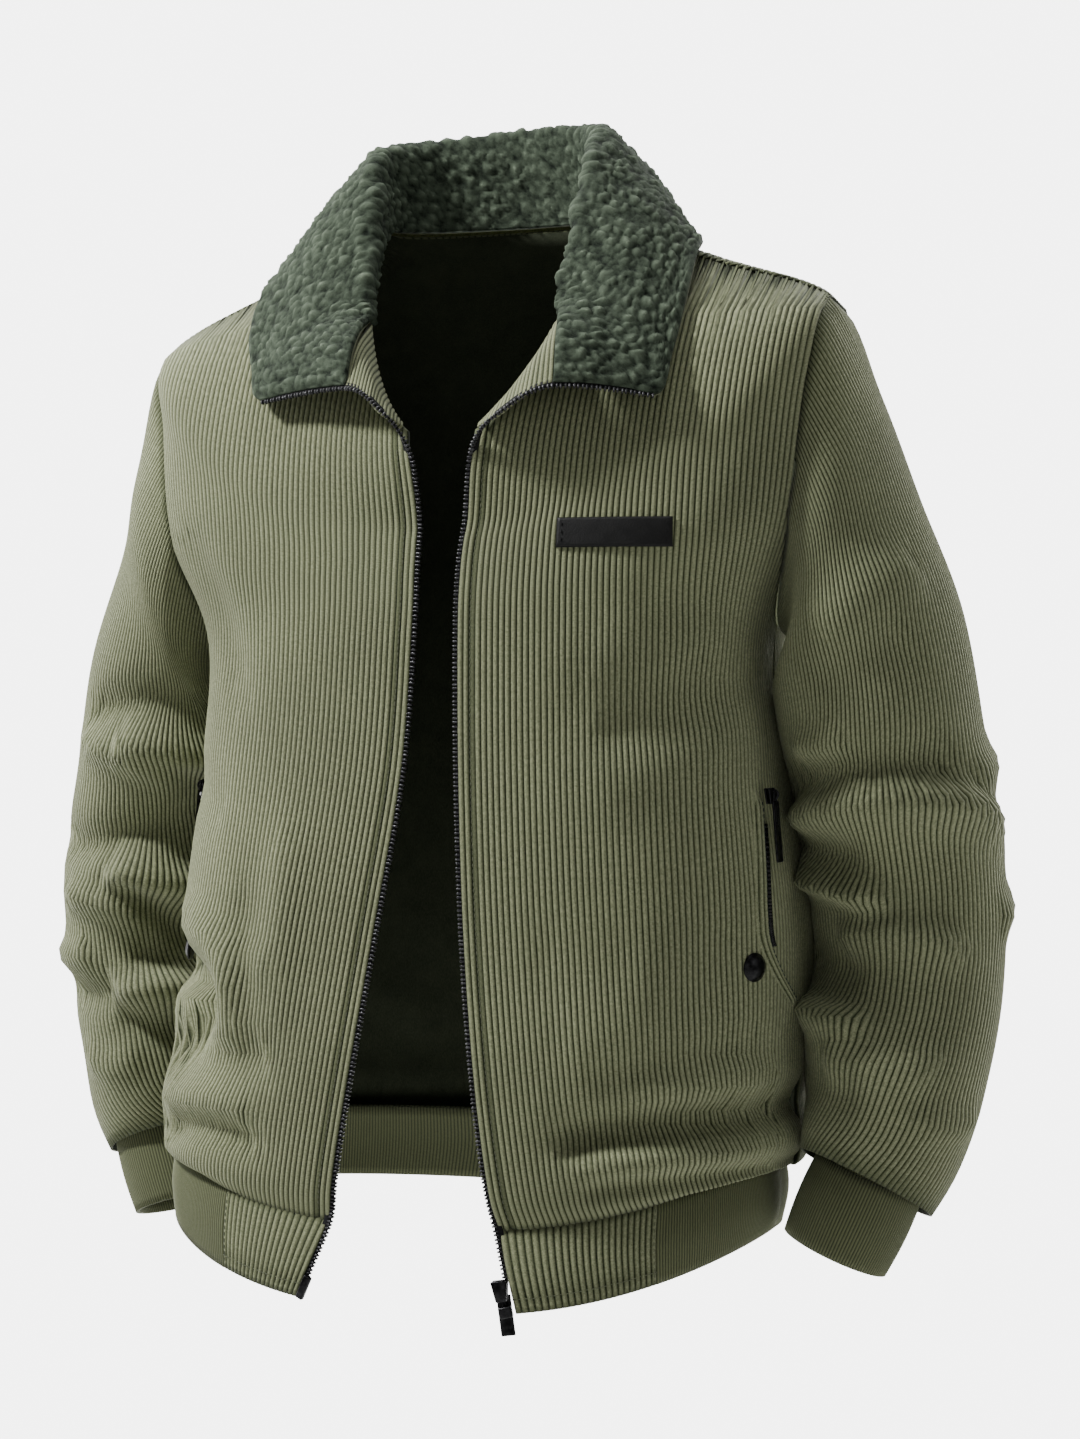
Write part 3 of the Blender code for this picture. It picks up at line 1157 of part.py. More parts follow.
def make_snap(side, paint):
    """Domed snap cap: a profile turned round the body's normal."""
    turn = np.array([(SNAP_TURN + POCKET_SHIFT[side]) * SIGN[side]])
    level = np.array([SNAP_LEVEL])
    normal = outward(TORSO, turn, level)
    face = Vector(normal[0])
    seat = body(side, turn, level)
    around = face.orthogonal().normalized()
    across = face.cross(around)
    circle = [around * math.cos(angle) + across * math.sin(angle)
              for angle in np.linspace(0.0, math.tau, SNAP_STEPS + 1)]
    rim = np.array([seat[0] + np.array(way) * SNAP_RADIUS for way in circle])
    laid = lay_on_front(side, rim, np.repeat(normal, len(rim), axis=0), WELT_LIFT)
    highest = float(np.max((laid - seat) @ normal[0]))
    centre = Vector(seat[0]) + face * (highest + 0.0002)
    mesh = bpy.data.meshes.new("snap")
    angles = np.radians(np.linspace(90.0, 0.0, 6))
    profile = [(SNAP_RADIUS * math.cos(angle), 0.0, SNAP_HEIGHT * math.sin(angle)) for angle in angles]
    profile.append((0.0, 0.0, 0.0))
    profile[0] = (0.0, 0.0, SNAP_HEIGHT)
    mesh.from_pydata(profile, [(step, step + 1) for step in range(len(profile) - 1)], [])
    thing = bpy.data.objects.new("snap", mesh)
    bpy.context.scene.collection.objects.link(thing)
    turned = thing.modifiers.new("Turned", "SCREW")
    turned.angle = math.tau
    turned.steps = SNAP_STEPS
    turned.render_steps = SNAP_STEPS
    turned.use_merge_vertices = True
    turned.merge_threshold = 0.00001
    thing.matrix_world = Matrix.Translation(centre) @ face.to_track_quat("Z", "Y").to_matrix().to_4x4()
    place(thing, f"pocket_snap_{side}", paint)


def find_place(x, z):
    """Turn and level of the point of the front at x and z."""
    turn = np.full(np.shape(x), 40.0)
    level = np.full(np.shape(x), 6.0)
    for _ in range(30):
        here = ring(TORSO, turn, level)
        right = ring(TORSO, turn + 0.5, level)
        above = ring(TORSO, turn, level + 0.02)
        turn = turn + (x - here[..., 0]) / (right[..., 0] - here[..., 0]) * 0.5 * 0.7
        level = level + (z - here[..., 2]) / (above[..., 2] - here[..., 2]) * 0.02 * 0.7
    return turn, level


def make_patch(paint):
    across = PATCH_CENTRE[0] + np.linspace(-0.5, 0.5, 9) * PATCH_SIZE[0]
    upward = PATCH_CENTRE[1] + np.linspace(-0.5, 0.5, 4) * PATCH_SIZE[1]
    x, z = np.meshgrid(across, upward)
    turn, level = find_place(x, z)
    points = lay_on_front("left", body("left", turn, level), outward(TORSO, turn, level), WELT_LIFT)
    sheet("label_patch", paint, points, PATCH_THICKNESS, offset=1.0)


# ---------------------------------------------------------------- the jacket

for old in list(bpy.data.objects):
    bpy.data.objects.remove(old, do_unlink=True)

JACKET = bpy.data.collections.new("corduroy_jacket")
bpy.context.scene.collection.children.link(JACKET)


def build():
    corduroy = material("corduroy", (0.188, 0.220, 0.112), 0.9)
    knit = material("rib_knit", (0.120, 0.135, 0.065), 0.9)
    fleece = material("fleece", (0.055, 0.095, 0.070), 1.0)
    tape = material("zip_tape", (0.010, 0.010, 0.011), 0.8)
    metal = material("black_metal", (0.020, 0.020, 0.022), 0.35, 0.8)
    leather = material("patch_leather", (0.012, 0.012, 0.012), 0.6)
    make_fronts(corduroy)
    make_back(corduroy)
    make_sleeves(corduroy)
    make_cuffs(knit)
    make_hem(corduroy, knit)
    make_collar(fleece, corduroy)
    make_main_zip(tape, metal)
    make_pockets(corduroy, tape, metal)
    make_patch(leather)


build()
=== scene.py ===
import json
import math

import bmesh
import bpy
import numpy as np
from mathutils import Matrix, Vector, kdtree, noise


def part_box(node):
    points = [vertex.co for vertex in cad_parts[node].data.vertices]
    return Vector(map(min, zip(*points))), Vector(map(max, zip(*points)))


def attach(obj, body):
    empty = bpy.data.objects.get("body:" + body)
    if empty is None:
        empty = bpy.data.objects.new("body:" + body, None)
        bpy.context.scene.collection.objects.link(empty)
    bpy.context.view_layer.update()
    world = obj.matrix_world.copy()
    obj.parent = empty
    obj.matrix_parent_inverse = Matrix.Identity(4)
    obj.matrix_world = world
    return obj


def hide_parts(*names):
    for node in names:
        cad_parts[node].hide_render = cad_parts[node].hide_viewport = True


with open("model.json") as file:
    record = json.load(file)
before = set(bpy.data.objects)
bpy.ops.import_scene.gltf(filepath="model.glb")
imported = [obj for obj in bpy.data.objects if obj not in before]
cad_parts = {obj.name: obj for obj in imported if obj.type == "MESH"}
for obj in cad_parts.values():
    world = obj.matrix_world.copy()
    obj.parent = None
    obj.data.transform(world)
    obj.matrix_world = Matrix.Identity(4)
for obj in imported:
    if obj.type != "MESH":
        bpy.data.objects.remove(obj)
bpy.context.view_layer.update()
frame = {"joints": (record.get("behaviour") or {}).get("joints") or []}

# Corduroy zip jacket, worn open. Metres, +X the wearer's left, -Y the front.
sideSign = {"left": 1.0, "right": -1.0}
flips = {side: np.array([sign, 1.0, 1.0]) for side, sign in sideSign.items()}
walls = {"corduroy": 0.0022, "rib": 0.0026, "fleece": 0.0055, "underCollar": 0.0014, "facing": 0.0026}
seams = {
    "gap": 0.0003,        # between two pieces at a seam
    "hem": 0.0008,        # under the bloused lower edge of the body
    "foot": 0.0022,       # how far the body runs on behind the hem band
    "tuck": 0.0030,       # how far the band and its tabs run on under the body
    "sleeve": 0.0020,     # how far the sleeve head runs on under the body
    "sunk": 0.0010,       # how deep those ends lie
}
armpitRow, notchRow, tipRow, neckRow = 5, 6, 8, 10       # rows of the body's table
sideTurn, shoulderTurn = 90.0, 84.0     # seams, in degrees round the body from the front
notchTurn = {"front": 65.0, "back": 116.0}


def table(columns, text):
    # named columns of numbers from lines of text
    rows = [[float(part) for part in line.split()] for line in text.strip().splitlines()]
    return dict(zip(columns.split(), np.array(rows).T))


# rings of the body and the hem band, and the zip's distance from the middle at each
ringColumns = "half shift sway sideY sideZ lean frontY frontZ backY backZ square dip"
torsoRows = table(ringColumns, """
.205 -.014 .004 0 -.577 0 -.13 -.613 .118 -.577 2.4 2
.216 -.011 0 0 -.579 0 -.138 -.585 .134 -.581 2.4 2
.2155 -.008 0 0 -.525 0 -.142 -.52 .137 -.525 2.4 2
.2095 0 .001 0 -.43 0 -.141 -.43 .136 -.43 2.5 2
.1965 -.001 .008 0 -.33 0 -.139 -.33 .134 -.33 2.6 2
.193 -.002 .012 0 -.243 .003 -.137 -.243 .13 -.243 2.6 2
.228 0 .012 -.002 -.165 .005 -.133 -.21 .126 -.152 2.5 2
.2335 0 .012 -.003 -.087 .007 -.13 -.192 .119 -.103 2.4 2
.231 0 .012 -.003 -.041 .007 -.128 -.178 .11 -.066 2.3 2
.156 .002 .012 -.003 -.007 .002 -.132 -.152 .086 -.012 2.2 1.7
.079 .003 .012 -.004 .024 0 -.137 -.131 .052 .03 2 1.3
""")
zipRows = table("left right", """
.05 -.062
.046 -.057
.039 -.044
.032 -.027
.028 -.009
.027 -.003
.027 -.003
.028 -.003
.03 -.003
.033 -.005
.037 -.008
""")
hemRows = table(ringColumns, """
.205 -.014 .004 0 -.577 0 -.13 -.613 .118 -.577 2.4 2
.2075 -.014 .004 0 -.6 0 -.134 -.638 .121 -.6 2.4 2
.205 -.015 .004 0 -.623 0 -.134 -.665 .119 -.624 2.4 2
""")
hemZipRows = table("left right", """
.05 -.062
.056 -.073
.062 -.085
""")

# sleeve rings from the armhole to the cuff: centre, half sizes and tilt in degrees
sleeveColumns = "X Y Z across along tilt"
sleeveRows = {"left": table(sleeveColumns, """
.232 0 -.18 .086 .074 73
.237 .002 -.22 .073 .073 53
.2495 .006 -.262 .064 .073 25
.258 .022 -.33 .0625 .069 6
.2655 .041 -.4 .062 .067 0
.266 .038 -.47 .061 .065 -2
.262 .018 -.525 .0575 .06 -9
.2575 .008 -.562 .051 .056 -17
.2495 -.002 -.591 .0445 .047 -23
"""), "right": table(sleeveColumns, """
.229 .01 -.188 .084 .07 72
.235 .02 -.231 .074 .068 58
.2515 .03 -.277 .064 .067 30
.2669 .045 -.335 .062 .066 8
.2849 .058 -.4 .061 .066 2
.2857 .062 -.47 .059 .063 -2
.276 .058 -.53 .056 .06 -8
.271 .053 -.567 .052 .056 -14
.268 .048 -.595 .042 .044 -20
""")}

# collar sections from the centre back to the tip: its fold line and its free edge
collarColumns = "turn crestX crestY crestZ edgeX edgeY edgeZ"
collarRows = {"left": table(collarColumns, """
180 0 .058 .094 0 .091 .01
140 .047 .045 .093 .08 .076 .006
112 .07 .012 .083 .121 .036 -.002
90 .077 -.028 .048 .142 -.016 -.012
72 .078 -.058 .008 .15 -.068 -.058
63 .076 -.076 -.026 .149 -.112 -.104
"""), "right": table(collarColumns, """
180 0 .058 .094 0 .091 .01
140 .055 .047 .091 .086 .076 .004
112 .087 .012 .083 .138 .032 -.006
90 .082 -.02 .052 .147 -.02 -.018
72 .071 -.048 .008 .142 -.066 -.058
63 .063 -.073 -.03 .12 -.108 -.097
""")}

# Folds on curves through three points, with the widths of their upper and lower slopes. On the
# body a height above 0 stands out and on the sleeves one below 0 does. The sleeves' first
# coordinate is in degrees round the sleeve, from the outer side to the front.
foldColumns = "at0 up0 at1 up1 at2 up2 above below height"
bodyFolds = {"left": table(foldColumns, """
.085 -.56 .135 -.549 .225 -.541 .012 .01 -.017
.095 -.574 .15 -.565 .215 -.56 .009 .009 .007
.098 -.587 .15 -.581 .215 -.577 .007 .008 -.007
.105 -.52 .15 -.512 .205 -.5 .012 .009 -.005
.13 -.528 .165 -.523 .205 -.518 .014 .01 .004
.07 -.445 .105 -.447 .14 -.45 .024 .02 -.003
.09 -.496 .12 -.498 .15 -.502 .02 .022 .003
.09 -.27 .13 -.305 .17 -.33 .03 .028 -.003
.17 -.185 .15 -.24 .12 -.3 .014 .016 -.0025
.185 -.42 .165 -.47 .12 -.52 .016 .016 -.003
.11 -.303 .145 -.297 .185 -.262 .02 .016 -.004
.105 -.264 .14 -.262 .175 -.232 .022 .018 .003
.1 -.332 .145 -.327 .19 -.297 .014 .02 .003
"""), "right": table(foldColumns, """
-.24 -.456 -.168 -.48 -.215 -.515 .016 .015 -.021
-.215 -.522 -.15 -.515 -.095 -.507 .01 .016 -.009
-.195 -.43 -.145 -.447 -.135 -.5 .011 .012 .008
-.14 -.44 -.118 -.448 -.098 -.458 .01 .012 .003
-.192 -.17 -.155 -.225 -.13 -.3 .014 .015 -.004
-.212 -.552 -.16 -.545 -.11 -.553 .01 .01 .005
-.215 -.574 -.16 -.562 -.105 -.572 .012 .01 -.009
-.095 -.36 -.093 -.42 -.1 -.49 .014 .014 .003
-.12 -.4 -.125 -.45 -.12 -.52 .012 .012 -.003
-.2 -.33 -.17 -.35 -.14 -.36 .016 .016 -.003
"""), "back": table(foldColumns, """
-.215 -.545 -.13 -.56 -.04 -.55 .014 .012 -.009
.215 -.54 .13 -.556 .06 -.56 .014 .012 -.009
-.19 -.215 -.14 -.26 -.115 -.35 .018 .018 -.006
.19 -.215 .135 -.25 .105 -.34 .018 .018 -.006
-.09 -.48 0 -.495 .09 -.475 .024 .018 .005
-.2 -.47 -.15 -.49 -.09 -.52 .014 .014 -.005
.2 -.46 .15 -.485 .09 -.515 .014 .014 -.005
""")}
sleeveFolds = {"left": table(foldColumns, """
25 -.201 67 -.226 96 -.251 .018 .018 -.007
46 -.2445 73 -.263 110 -.288 .018 .018 .005
137 -.318 109 -.316 92 -.31 .01 .01 -.008
168 -.352 81 -.333 30 -.336 .018 .009 .009
168 -.375 80 -.344 -8 -.37 .009 .019 -.015
166 -.371 132 -.381 95 -.386 .014 .011 .007
162 -.394 124 -.4 82 -.413 .009 .011 -.02
122 -.44 88 -.4315 38 -.445 .009 .016 -.011
170 -.455 130 -.452 96 -.456 .016 .012 .007
160 -.48 126 -.486 92 -.49 .009 .011 -.018
126 -.504 92 -.512 42 -.511 .009 .016 -.01
178 -.53 130 -.526 90 -.532 .018 .016 .005
60 -.545 28 -.5515 0 -.548 .01 .01 -.005
-30 -.325 -5 -.33 20 -.34 .012 .012 -.006
-40 -.415 -12 -.42 12 -.43 .012 .012 -.006
200 -.33 235 -.35 290 -.36 .014 .014 -.01
190 -.39 230 -.4 280 -.41 .012 .014 -.008
190 -.44 240 -.45 310 -.43 .014 .014 -.01
200 -.505 250 -.5 310 -.51 .012 .012 -.007
"""), "right": table(foldColumns, """
48 -.296 95 -.289 165 -.289 .013 .01 .008
82 -.311 126 -.317 178 -.328 .01 .016 -.023
40 -.31 92 -.327 128 -.346 .008 .011 -.008
20 -.381 88 -.386 145 -.354 .014 .01 .009
88 -.4 130 -.409 178 -.416 .014 .018 -.025
98 -.409 120 -.43 148 -.458 .008 .009 .009
45 -.42 90 -.427 116 -.442 .008 .012 -.01
20 -.462 57 -.4655 76 -.4585 .01 .011 -.008
20 -.487 82 -.49 126 -.444 .011 .01 .009
85 -.481 126 -.487 178 -.486 .014 .016 -.024
88 -.5 114 -.511 150 -.514 .009 .012 .008
49 -.529 77 -.541 104 -.525 .011 .011 -.006
200 -.335 235 -.352 290 -.362 .014 .014 -.01
190 -.395 230 -.405 280 -.412 .012 .012 -.008
190 -.445 240 -.455 310 -.435 .014 .014 -.01
""")}


# curves and surfaces
def unit(vectors):
    return vectors / np.maximum(np.linalg.norm(vectors, axis=-1, keepdims=True), 1e-12)


def ease(value):
    value = np.clip(value, 0.0, 1.0)
    return value * value * (3 - 2 * value)


def read(columns, name, place):
    # a column's value at fractional row numbers, on a smooth curve through its rows
    values = columns[name]
    place = np.clip(np.asarray(place, float), 0.0, len(values) - 1.0)
    row = np.minimum(place.astype(int), len(values) - 2)
    step = place - row
    padded = np.concatenate([[2 * values[0] - values[1]], values, [2 * values[-1] - values[-2]]])
    before, here, there, after = (padded[row + k] for k in range(4))
    slope = (there - before) * step
    bend = (2 * before - 5 * here + 4 * there - after) * step ** 2
    twist = (3 * here - before - 3 * there + after) * step ** 3
    return 0.5 * (2 * here + slope + bend + twist)


def readPoint(columns, place, kind=""):
    return np.stack([read(columns, kind + axis, place) for axis in "XYZ"], axis=-1)


def curveThrough(corners, count, start=0.0):
    # points on a smooth curve through a few corners, from the corner with number start
    corners = np.asarray(corners, float)
    return readPoint(dict(zip("XYZ", corners.T)), np.linspace(start, len(corners) - 1, count))


def runLength(points):
    return np.concatenate([[0.0], np.cumsum(np.linalg.norm(np.diff(points, axis=0), axis=1))])


def pick(wanted, lengths, points):
    return np.stack([np.interp(wanted, lengths, column) for column in points.T], axis=-1)


def resample(points, count, vectors=None):
    # points spaced evenly along a line, with the vectors that go with them
    lengths = runLength(points)
    wanted = np.linspace(0.0, lengths[-1], count)
    spaced = pick(wanted, lengths, points)
    return spaced if vectors is None else (spaced, unit(pick(wanted, lengths, vectors)))


def smoothCurve(corners, count):
    return resample(curveThrough(corners, 40 * (len(corners) - 1) + 1), count)


def gridNormals(points, outwardWay=None):
    # normals of a grid of points; outwardWay settles which side is out
    normal = unit(np.cross(np.gradient(points, axis=1), np.gradient(points, axis=0)))
    return -normal if outwardWay is not None and np.sum(normal * outwardWay) < 0 else normal


def tubeNormals(points):
    # normals of a grid whose last column lies on its first
    closed = np.concatenate([points[:, -2:-1], points, points[:, 1:2]], axis=1)
    return unit(np.cross(np.gradient(points, axis=0), closed[:, 2:] - closed[:, :-2]))


def fineGrid(points, rows, columns):
    # the same sheet with more points, on smooth curves through the given ones
    for axis, count in ((0, rows), (1, columns)):
        lines = np.moveaxis(points, axis, 0)
        place = np.linspace(0.0, len(lines) - 1.0, count)
        step = np.minimum(place.astype(int), len(lines) - 2)
        share = (place - step).reshape(-1, 1, 1)
        before, after = lines[np.maximum(step - 1, 0)], lines[np.minimum(step + 2, len(lines) - 1)]
        first, second = lines[step], lines[step + 1]
        bend = 2 * before - 5 * first + 4 * second - after
        twist = 3 * (first - second) + after - before
        points = first + 0.5 * share * (second - before + share * (bend + share * twist))
        points = np.moveaxis(points, 0, axis)
    return points


def ring(columns, turn, level):
    # point of a body ring; turn is in degrees, positive to the wearer's left
    at = {name: read(columns, name, level) for name in columns}
    sine, cosine = np.sin(np.radians(turn)), np.cos(np.radians(turn))
    power = 2.0 / at["square"]
    across = np.sign(sine) * np.abs(sine) ** power
    along = np.abs(cosine) ** power
    front = cosine > 0
    endY = np.where(front, at["frontY"], at["backY"])
    endZ = np.where(front, at["frontZ"], at["backZ"])
    x = at["shift"] + np.where(front, at["sway"] * along, 0.0) + at["half"] * across
    y = at["sideY"] + (endY - at["sideY"]) * along
    z = at["sideZ"] + at["lean"] * across + (endZ - at["sideZ"]) * np.abs(cosine) ** at["dip"]
    return np.stack(np.broadcast_arrays(x, y, z), axis=-1)


def outward(columns, turn, level):
    # unit normal of the body's surface, pointing away from the wearer
    stepTurn, stepLevel = 0.5, 0.02
    high = np.minimum(level + stepLevel, len(columns["shift"]) - 1.0)
    low = np.maximum(level - stepLevel, 0.0)
    around = ring(columns, turn + stepTurn, level) - ring(columns, turn - stepTurn, level)
    return unit(np.cross(around, ring(columns, turn, high) - ring(columns, turn, low)))


def turnAt(columns, sideways, side, level):
    # turn at which a ring lies at a distance sideways from the middle
    middle = (read(columns, "shift", level) + read(columns, "sway", level)) * sideSign[side]
    across = (sideways - middle) / read(columns, "half", level)
    power = read(columns, "square", level) / 2.0
    return np.degrees(np.arcsin(np.sign(across) * np.abs(across) ** power))


def zipTurn(side, level):
    return turnAt(torsoRows, read(zipRows, side, level) * sideSign[side], side, level)


def hemTurn(side, level):
    return turnAt(hemRows, read(hemZipRows, side, level) * sideSign[side], side, level)


def foldHeight(across, upward, folds):
    # sum of the folds' heights in one flat pair of coordinates
    total = np.zeros(np.shape(across))
    steps = np.linspace(0.0, 1.0, 25)
    first, middle, last = (1 - steps) ** 2, 2 * steps * (1 - steps), steps ** 2
    for *corners, above, below, height in zip(*folds.values()):
        gaps = []
        for place, (start, through, stop) in ((across, corners[0::2]), (upward, corners[1::2])):
            pull = 2 * through - 0.5 * (start + stop)
            gaps.append(place[..., None] - (first * start + middle * pull + last * stop))
        square = gaps[0] ** 2 + gaps[1] ** 2
        nearest = np.argmin(square, axis=-1)
        distance = np.sqrt(np.min(square, axis=-1)) + 1e-9
        over = np.take_along_axis(gaps[1], nearest[..., None], axis=-1)[..., 0]
        width = below + (above - below) * ease(0.5 + 0.5 * over / distance)
        ends = ease(np.minimum(steps, 1 - steps) * 3.0 + 0.25)[nearest]
        total += height * ends * np.exp(-(distance / width) ** 2)
    return total


def body(piece, turn, level):
    # outer face of the body's cloth with its folds
    points = ring(torsoRows, turn, level)
    lift = foldHeight(points[..., 0], points[..., 2], bodyFolds[piece]) * ease((level - 0.15) / 0.9)
    return points + outward(torsoRows, turn, level) * lift[..., None]


def searchable(*samples):
    # points with their normals, and a tree to search them
    samples = np.concatenate([np.concatenate(pair, axis=-1).reshape(-1, 6) for pair in samples])
    tree = kdtree.KDTree(len(samples))
    for index, point in enumerate(samples[:, :3]):
        tree.insert(point, index)
    tree.balance()
    return samples, tree


def clearOf(points, surface, clearance):
    # moves points out along a surface's normals until they clear it
    samples, tree = surface
    result = points.reshape(-1, 3).copy()
    gaps = np.broadcast_to(clearance, points.shape[:-1]).reshape(-1)
    found = [tree.find(point)[1:] for point in result]
    nearest = samples[[index for index, _ in found]]
    distance = np.array([far for _, far in found])
    height = np.sum((result - nearest[:, :3]) * nearest[:, 3:], axis=-1)
    near = ease((0.035 - distance) / 0.010)
    result += nearest[:, 3:] * (np.maximum(gaps - height, 0.0) * near)[:, None]
    return result.reshape(points.shape)


# wide-wale corduroy as it is woven
cord = {
    "pitch": 0.0038,      # one wale
    "steps": 4,           # mesh columns a wale
    "row": 0.0078,        # mesh row along the wales
    "pile": 0.0012,       # height of the wales over the grooves
    "sink": 0.0007,       # how far the groove lies under the solid's face
    "shape": np.array([0.0, 0.90, 1.0, 0.90]),      # height at a wale's columns
    "share": np.array([0.0, 0.20, 0.50, 0.80]),     # where those columns lie across it
}


def waleColumns(numbers):
    # places of mesh columns, in wales from the first
    return numbers // cord["steps"] + cord["share"][numbers % cord["steps"]]


def walePile(columns):
    # height of every mesh column over the grooves, 0 to 1
    return cord["shape"][np.arange(columns) % cord["steps"]]


def pressed(place, first, last):
    # how far the wales stand up between seams that press them down at the first and last rows;
    # first and last are the share of the height that is left there and how far it reaches
    ends = ((place, *first), (place[::-1], *last))
    rising, falling = (share + (1 - share) * ease(line / reach) for line, share, reach in ends)
    return rising * falling


class Panel:
    # one half of the front or back: columns follow the wales, rows run up the body

    def __init__(self, piece, side):
        self.piece, self.side, self.sign = piece, side, sideSign[side]
        self.front = piece != "back"
        self.levels = np.linspace(0.0, neckRow, 181)
        self.measure()
        self.width = self.atTurn(armpitRow, sideTurn)
        notch = notchTurn["front" if self.front else "back"]
        self.notchColumn = self.atTurn(notchRow, notch) / self.width
        self.stretch = self.atTurn(tipRow, shoulderTurn) / (self.notchColumn * self.width)
        self.sideGirth = np.array([self.atTurn(value, sideTurn) for value in self.levels])

    def measure(self):
        # distance along the cloth from the zip or the centre back, for a fan of turns at each level
        start = zipTurn(self.side, self.levels) if self.front else np.full(len(self.levels), 180.0)
        stop = sideTurn + 14.0 if self.front else sideTurn - 14.0
        turns = start[:, None] + (stop - start[:, None]) * np.linspace(0.0, 1.0, 241)
        points = ring(torsoRows, turns * self.sign, np.broadcast_to(self.levels[:, None], turns.shape))
        step = np.diff(points, axis=1)
        depth = 1.0 - ease((self.levels - armpitRow) / (tipRow - armpitRow))
        length = np.sqrt(step[..., 0] ** 2 + depth[:, None] * step[..., 1] ** 2)
        self.turns = turns
        self.girth = np.concatenate([np.zeros((len(start), 1)), np.cumsum(length, axis=1)], axis=1)

    def atTurn(self, level, turn):
        row = int(round(float(level) / neckRow * (len(self.levels) - 1)))
        order = np.argsort(self.turns[row])
        return float(np.interp(turn, self.turns[row][order], self.girth[row][order]))

    def turn(self, column, level):
        # turn of the wale that starts at a share of the panel's width, at a level
        girth = np.interp(level, self.levels, self.sideGirth)
        plain = column * self.width
        below = plain + (girth - self.width) * column ** 2
        rise = ease((level - notchRow) / (tipRow - notchRow))
        above = plain * (1.0 + (self.stretch - 1.0) * rise)
        wanted = np.where(level < armpitRow, below, above)
        place = np.clip(level / neckRow * (len(self.levels) - 1), 0, len(self.levels) - 1.000001)
        lower = place.astype(int)
        share = place - lower
        result = np.zeros(np.shape(place))
        for row in np.unique(lower):
            here = lower == row
            low = np.interp(wanted[here], self.girth[row], self.turns[row])
            high = np.interp(wanted[here], self.girth[row + 1], self.turns[row + 1])
            result[here] = low + (high - low) * share[here]
        return result

    def topLevel(self, column):
        # level at which a column meets the neck line or the shoulder seam
        levels = self.levels[self.levels >= tipRow]
        seam = np.array([self.atTurn(level, shoulderTurn) for level in levels])
        return np.interp(column * self.width * self.stretch, seam[::-1], levels[::-1])

    def scyeLevel(self, column):
        # level at which a column meets the lower armhole
        share = np.clip((1.0 - column) / (1.0 - self.notchColumn), 0.0, 1.0)
        return armpitRow + (notchRow - armpitRow) * (1.0 - (1.0 - share ** 1.6) ** 0.625)

    def samples(self):
        # points of the cloth with their normals, for laying other pieces clear of it
        share, below = np.meshgrid(np.linspace(0.0, 1.0, 61), np.linspace(0.0, 1.0, 91))
        level = below * np.minimum(notchRow, self.scyeLevel(share))
        turn = self.turn(share, level) * self.sign
        return body(self.piece, turn, level), outward(torsoRows, turn, level)

    def surface(self):
        # the cloth's grid, its normals and the points that are absent past the armhole's notch
        total = self.width / cord["pitch"]
        lower = max(2, round(total * (1.0 - self.notchColumn)))
        main = round(total - lower)         # whole wales up to the notch, and the lower ones from there
        mainColumns, lowerColumns = (np.arange(wales * cord["steps"] + 1) for wales in (main, lower))
        first = self.notchColumn * waleColumns(mainColumns) / main
        second = self.notchColumn + (1.0 - self.notchColumn) * waleColumns(lowerColumns) / lower
        column = np.concatenate([first, second[1:]])
        below = np.minimum(notchRow, self.scyeLevel(column))
        lowerRows, upperRows = (round(length / cord["row"]) for length in (0.40, 0.14))
        rise = np.linspace(0.0, 1.0, lowerRows + 1)[:, None] * below[None, :]
        share = np.linspace(0.0, 1.0, upperRows + 1)[1:, None]
        level = np.concatenate([rise, notchRow + (self.topLevel(column) - notchRow)[None, :] * share])
        turn = self.turn(np.broadcast_to(column, level.shape), level) * self.sign
        absent = np.zeros(level.shape, bool)
        absent[lowerRows + 1:, len(first):] = True
        points = body(self.piece, turn, level)
        notch = len(first) - 1
        self.armhole = np.concatenate([points[lowerRows:, notch][::-1], points[lowerRows, notch + 1:]])
        return points, outward(torsoRows, turn, level), absent


halves = [("left", "left"), ("right", "right"), ("back", "left"), ("back", "right")]
panels = {half: Panel(*half) for half in halves}
surfaces = {half: panels[half].surface() for half in halves}
print("cut worked out")


# materials: a small way of writing node sums
class Wire:
    # one socket that can be added, multiplied and so on

    def __init__(self, sheet, socket):
        self.sheet, self.socket = sheet, socket

    def sum(self, kind, *pair):
        return self.sheet.node("ShaderNodeMath", {"operation": kind}, pair)[0]

    def __add__(self, other):
        return self.sum("ADD", self, other)

    def __radd__(self, other):
        return self.sum("ADD", other, self)

    def __sub__(self, other):
        return self.sum("SUBTRACT", self, other)

    def __rsub__(self, other):
        return self.sum("SUBTRACT", other, self)

    def __mul__(self, other):
        return self.sum("MULTIPLY", self, other)

    def __rmul__(self, other):
        return self.sum("MULTIPLY", other, self)


